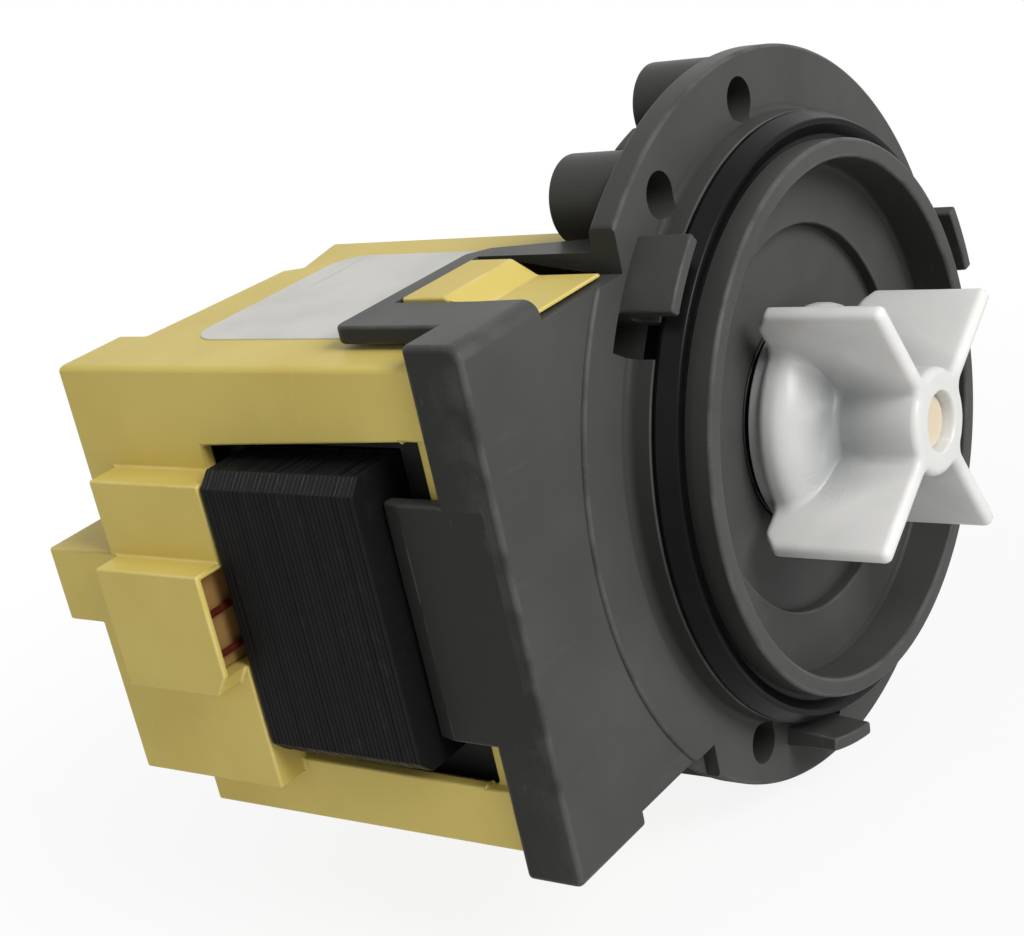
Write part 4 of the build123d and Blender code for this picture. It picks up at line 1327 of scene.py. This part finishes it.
@dataclass
class Impeller(Assembly):
    """Impeller with its cap, pads and plug; the hollow is listed as radius and y."""

    blades: int = 4
    blade_angle: float = 30.0
    tip_radius: float = 21.4
    half_thickness: float = 1.15
    hub_radius: float = 6.9
    dome_radius: float = 15.1
    front: float = -20.9
    back: float = -2.9
    dome_front: float = -9.3
    dome_curve: float = -4.6
    corner_cut: Span = (2.4, 2.1)
    root: float = 1.5
    tip_corner: float = 0.95
    least_corner: float = 0.08
    edge: float = 1.05
    hub_root: float = 1.1
    smooth_angle: float = 45.0
    hollow: tuple[Span, ...] = (
        (14.5, -2.9), (14.5, -3.4), (12.82, -3.4), (12.82, -4.3), (10.9, -4.3), (10.9, -7.2),
        (2.05, -7.2), (2.05, -17.2), (3.62, -17.2), (3.62, -20.5), (4.0, -20.9),
    )

    def build(self) -> None:
        """Builds and dresses every piece of the impeller."""
        piece = self.surface().build("impeller_blades", self.smooth_angle)
        self.stand_in(piece, "impeller", "white_plastic", Body.IMPELLER)
        self.soften("coupling_cap", "pale_plastic", 0.25, body=Body.IMPELLER)
        self.soften("nose_plug", "cream_plastic", 0.15, 2, Body.IMPELLER)
        self.dress_nodes(seal_rubber=("coupling_damper",))

    def stations(self) -> tuple[np.ndarray, np.ndarray, np.ndarray]:
        """Works out y, core radius and inset of each section, from the front to the back.

        Both ends are rounded by insets e·(1 - sin a) at depth e·(1 - cos a). A quarter circle
        joins hub and dome, and the dome is a quarter ellipse.

        Returns:
            Arrays of y, core radius and inset.
        """
        turn = np.linspace(0, math.pi / 2, 5)
        nose_y = self.front + self.edge * (1 - np.cos(turn))
        hub_y = np.linspace(self.front + self.edge, self.dome_front - self.hub_root, 8)[1:]
        root_y = self.dome_front - self.hub_root * (1 - np.sin(turn[1:]))
        root_r = self.hub_radius + self.hub_root * (1 - np.cos(turn[1:]))
        start = math.asin(self.hub_root / (self.dome_radius - self.hub_radius))
        swing = np.linspace(start, math.pi / 2, 20)[1:]
        dome_y = self.dome_curve + (self.dome_front - self.dome_curve) * np.cos(swing)
        dome_r = self.hub_radius + (self.dome_radius - self.hub_radius) * np.sin(swing)
        rim_y = np.linspace(self.dome_curve, self.back - self.edge, 4)[1:]
        returning = turn[::-1][1:]
        end_y = self.back - self.edge * (1 - np.cos(returning))
        depth = np.concatenate([nose_y, hub_y, root_y, dome_y, rim_y, end_y])
        hub_r = np.full(len(nose_y) + len(hub_y), self.hub_radius)
        rim_r = np.full(len(rim_y) + len(end_y), self.dome_radius)
        inset = np.zeros(len(depth))
        inset[: len(nose_y)] = self.edge * (1 - np.sin(turn))
        inset[-len(end_y):] = self.edge * (1 - np.sin(returning))
        return depth, np.concatenate([hub_r, root_r, dome_r, rim_r]), inset

    def half_blade(self, core: float, tip: float, inset: float) -> np.ndarray:
        """Draws one section from the middle of a blade's tip to the middle between two blades.

        The side at height h meets the core circle R in a root arc f, whose centre lies at
        (sqrt((R + f)² - (h + f)²), h + f).

        Args:
            core: radius of hub or dome there.
            tip: radius of the blade's tip there.
            inset: how far the whole outline moves inwards.

        Returns:
            Points of shape (n, 2), with the blade along the first axis.
        """
        high, far, radius = self.half_thickness - inset, tip - inset, core - inset
        root, corner = self.root + inset, max(self.tip_corner - inset, self.least_corner)
        foot = math.sqrt((radius + root) ** 2 - (high + root) ** 2)
        lean = math.atan2(high + root, foot)
        share = np.linspace(0, 1, 6)
        end = np.stack([np.full(3, far), share[:3] * (high - corner)], 1)
        tip_arc = (far - corner, high - corner) + corner * around(share * math.pi / 2)
        side = np.stack([np.linspace(far - corner, foot, 9)[1:], np.full(8, high)], 1)
        swing = np.linspace(1.5 * math.pi, math.pi + lean, 8)[1:]
        root_arc = (foot, high + root) + root * around(swing)
        core_arc = radius * around(np.linspace(lean, math.pi / self.blades, 6)[1:])
        return np.concatenate([end, tip_arc, side, root_arc, core_arc])

    def section(self, core: float, tip: float, inset: float) -> np.ndarray:
        """Repeats the half section round the axis, mirrored and turned, as one closed outline."""
        half = self.half_blade(core, tip, inset)
        whole = np.concatenate([half[::-1][:-1] * (1, -1), half])[:-1]
        outlines = []
        for k in range(self.blades):
            turn = math.radians(self.blade_angle) + 2 * math.pi * k / self.blades
            across = np.array([[math.cos(turn), math.sin(turn)], [-math.sin(turn), math.cos(turn)]])
            outlines.append(whole @ across)
        return np.concatenate(outlines)

    def surface(self) -> Surface:
        """Lofts the sections along the axis and closes them over the hollow inside.

        Returns:
            The closed surface.
        """
        depth, core, inset = self.stations()
        cut = np.clip((depth - (self.back - self.corner_cut[1])) / self.corner_cut[1], 0, 1)
        tips = self.tip_radius - self.corner_cut[0] * cut
        rings = [self.section(c, t, i) for c, t, i in zip(core, tips, inset)]
        circle = around(np.arctan2(rings[0][:, 1], rings[0][:, 0]))
        rings += [radius * circle for radius, _ in self.hollow]
        depth = np.append(depth, [place for _, place in self.hollow])
        return Surface.grid(lift(np.stack(rings), depth[:, None]), True, True)


# ---------------------------------------------------------------- studio


@dataclass(frozen=True)
class Lamp:
    """A square lamp that faces the object."""

    name: str
    place: Triple
    size: float
    power: float

    def hang(self) -> None:
        """Puts the lamp into the scene."""
        data = bpy.data.lights.new(self.name, "AREA")
        data.shape, data.size, data.energy = "SQUARE", self.size, self.power
        lamp = to_scene(self.name, data)
        lamp.location = self.place
        lamp.rotation_mode = "QUATERNION"
        lamp.rotation_quaternion = (-Vector(self.place)).to_track_quat("-Z", "Y")


@dataclass
class Studio:
    """Camera, lamps, floor and surroundings."""

    right: Triple = (0.561882974, -0.800147778, -0.209883438)
    down: Triple = (-0.413701634, -0.052095988, -0.908920770)
    forward: Triple = (0.716336849, 0.597536227, -0.360294292)
    eye: Triple = (-0.224427, -0.135541, 0.092884)
    focal_px: float = 2104.06
    centre_px: Span = (510.2, 536.8)
    image_px: Span = (1024.0, 936.0)
    sensor: float = 36.0
    clip: Span = (0.01, 20.0)
    even_light: float = 0.26
    lamps: tuple[Lamp, ...] = (
        Lamp("key", (-0.10, -0.80, 0.60), 0.55, 9.0),
        Lamp("top", (-0.25, -0.10, 0.95), 0.8, 0.55),
        Lamp("side", (-0.95, 0.15, 0.35), 0.5, 0.85),
    )
    floor_z: float = -0.0481
    floor_reach: float = 6.0
    floor_tone: float = 0.82
    glow_reach: Span = (0.08, 0.2)
    glow_share: Span = (0.88, 1.0)

    def build(self) -> None:
        """Sets up everything round the object."""
        self.camera()
        self.floor()
        self.world()
        for lamp in self.lamps:
            lamp.hang()
        bpy.context.scene.view_settings.view_transform = "Standard"

    def camera(self) -> None:
        """Places the camera where the photograph was taken from."""
        width, height = self.image_px
        data = bpy.data.cameras.new("photo_camera")
        data.sensor_width = self.sensor
        data.lens = self.focal_px * self.sensor / width
        data.shift_x = (width / 2 - self.centre_px[0]) / width
        data.shift_y = (self.centre_px[1] - height / 2) / width
        data.clip_start, data.clip_end = self.clip
        camera = to_scene("photo_camera", data)
        up, back = [-v for v in self.down], [-v for v in self.forward]
        axes = Matrix((self.right, up, back)).transposed()
        camera.matrix_world = Matrix.Translation(self.eye) @ axes.to_4x4()
        bpy.context.scene.camera = camera

    def world(self) -> None:
        """Lights the scene evenly, and shows white to the camera and in reflections."""
        world = bpy.data.worlds.new("studio")
        world.use_nodes = True
        bpy.context.scene.world = world
        nodes = Nodes(world.node_tree)
        seen = nodes.ray("Camera").larger(nodes.ray("Glossy").larger(nodes.ray("Transmission")))
        strength = seen.mapped((0.0, 1.0), (self.even_light, 1.0))
        background = nodes.tree.nodes["Background"]
        nodes.put(grey(1.0), background.inputs["Color"])
        nodes.put(strength, background.inputs["Strength"])

    def floor(self) -> None:
        """Lays a wide pale floor that shows white and keeps a soft shadow."""
        reach, height = self.floor_reach / MM, self.floor_z / MM
        sides = ((-1, -1), (1, -1), (1, 1), (-1, 1))
        corners = np.array([(x * reach, y * reach, height) for x, y in sides])
        floor = Surface(corners, [(0, 1, 2, 3)], np.zeros(4)).build("floor")
        paint = Paint("floor_paper")
        share = paint.ray("Camera") * paint.place.length().mapped(self.glow_reach, self.glow_share)
        diffuse = paint.node("ShaderNodeBsdfDiffuse", {}, {"Color": grey(self.floor_tone)})
        glow = paint.node("ShaderNodeEmission")
        blend = paint.node("ShaderNodeMixShader", {}, {0: share, 1: diffuse, 2: glow})
        paint.put(blend, paint.tree.nodes["Material Output"].inputs["Surface"])
        paint.tree.nodes.remove(paint.shader)
        floor.data.materials.append(paint.material)


def main() -> None:
    """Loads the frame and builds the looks."""
    logging.basicConfig(level=logging.INFO, format="%(message)s")
    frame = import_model()
    finishes = Finishes()
    for assembly in (Front, Stator, Rotor, Impeller):
        assembly(frame, finishes).build()
    Studio().build()


if __name__ == "__main__":
    main()
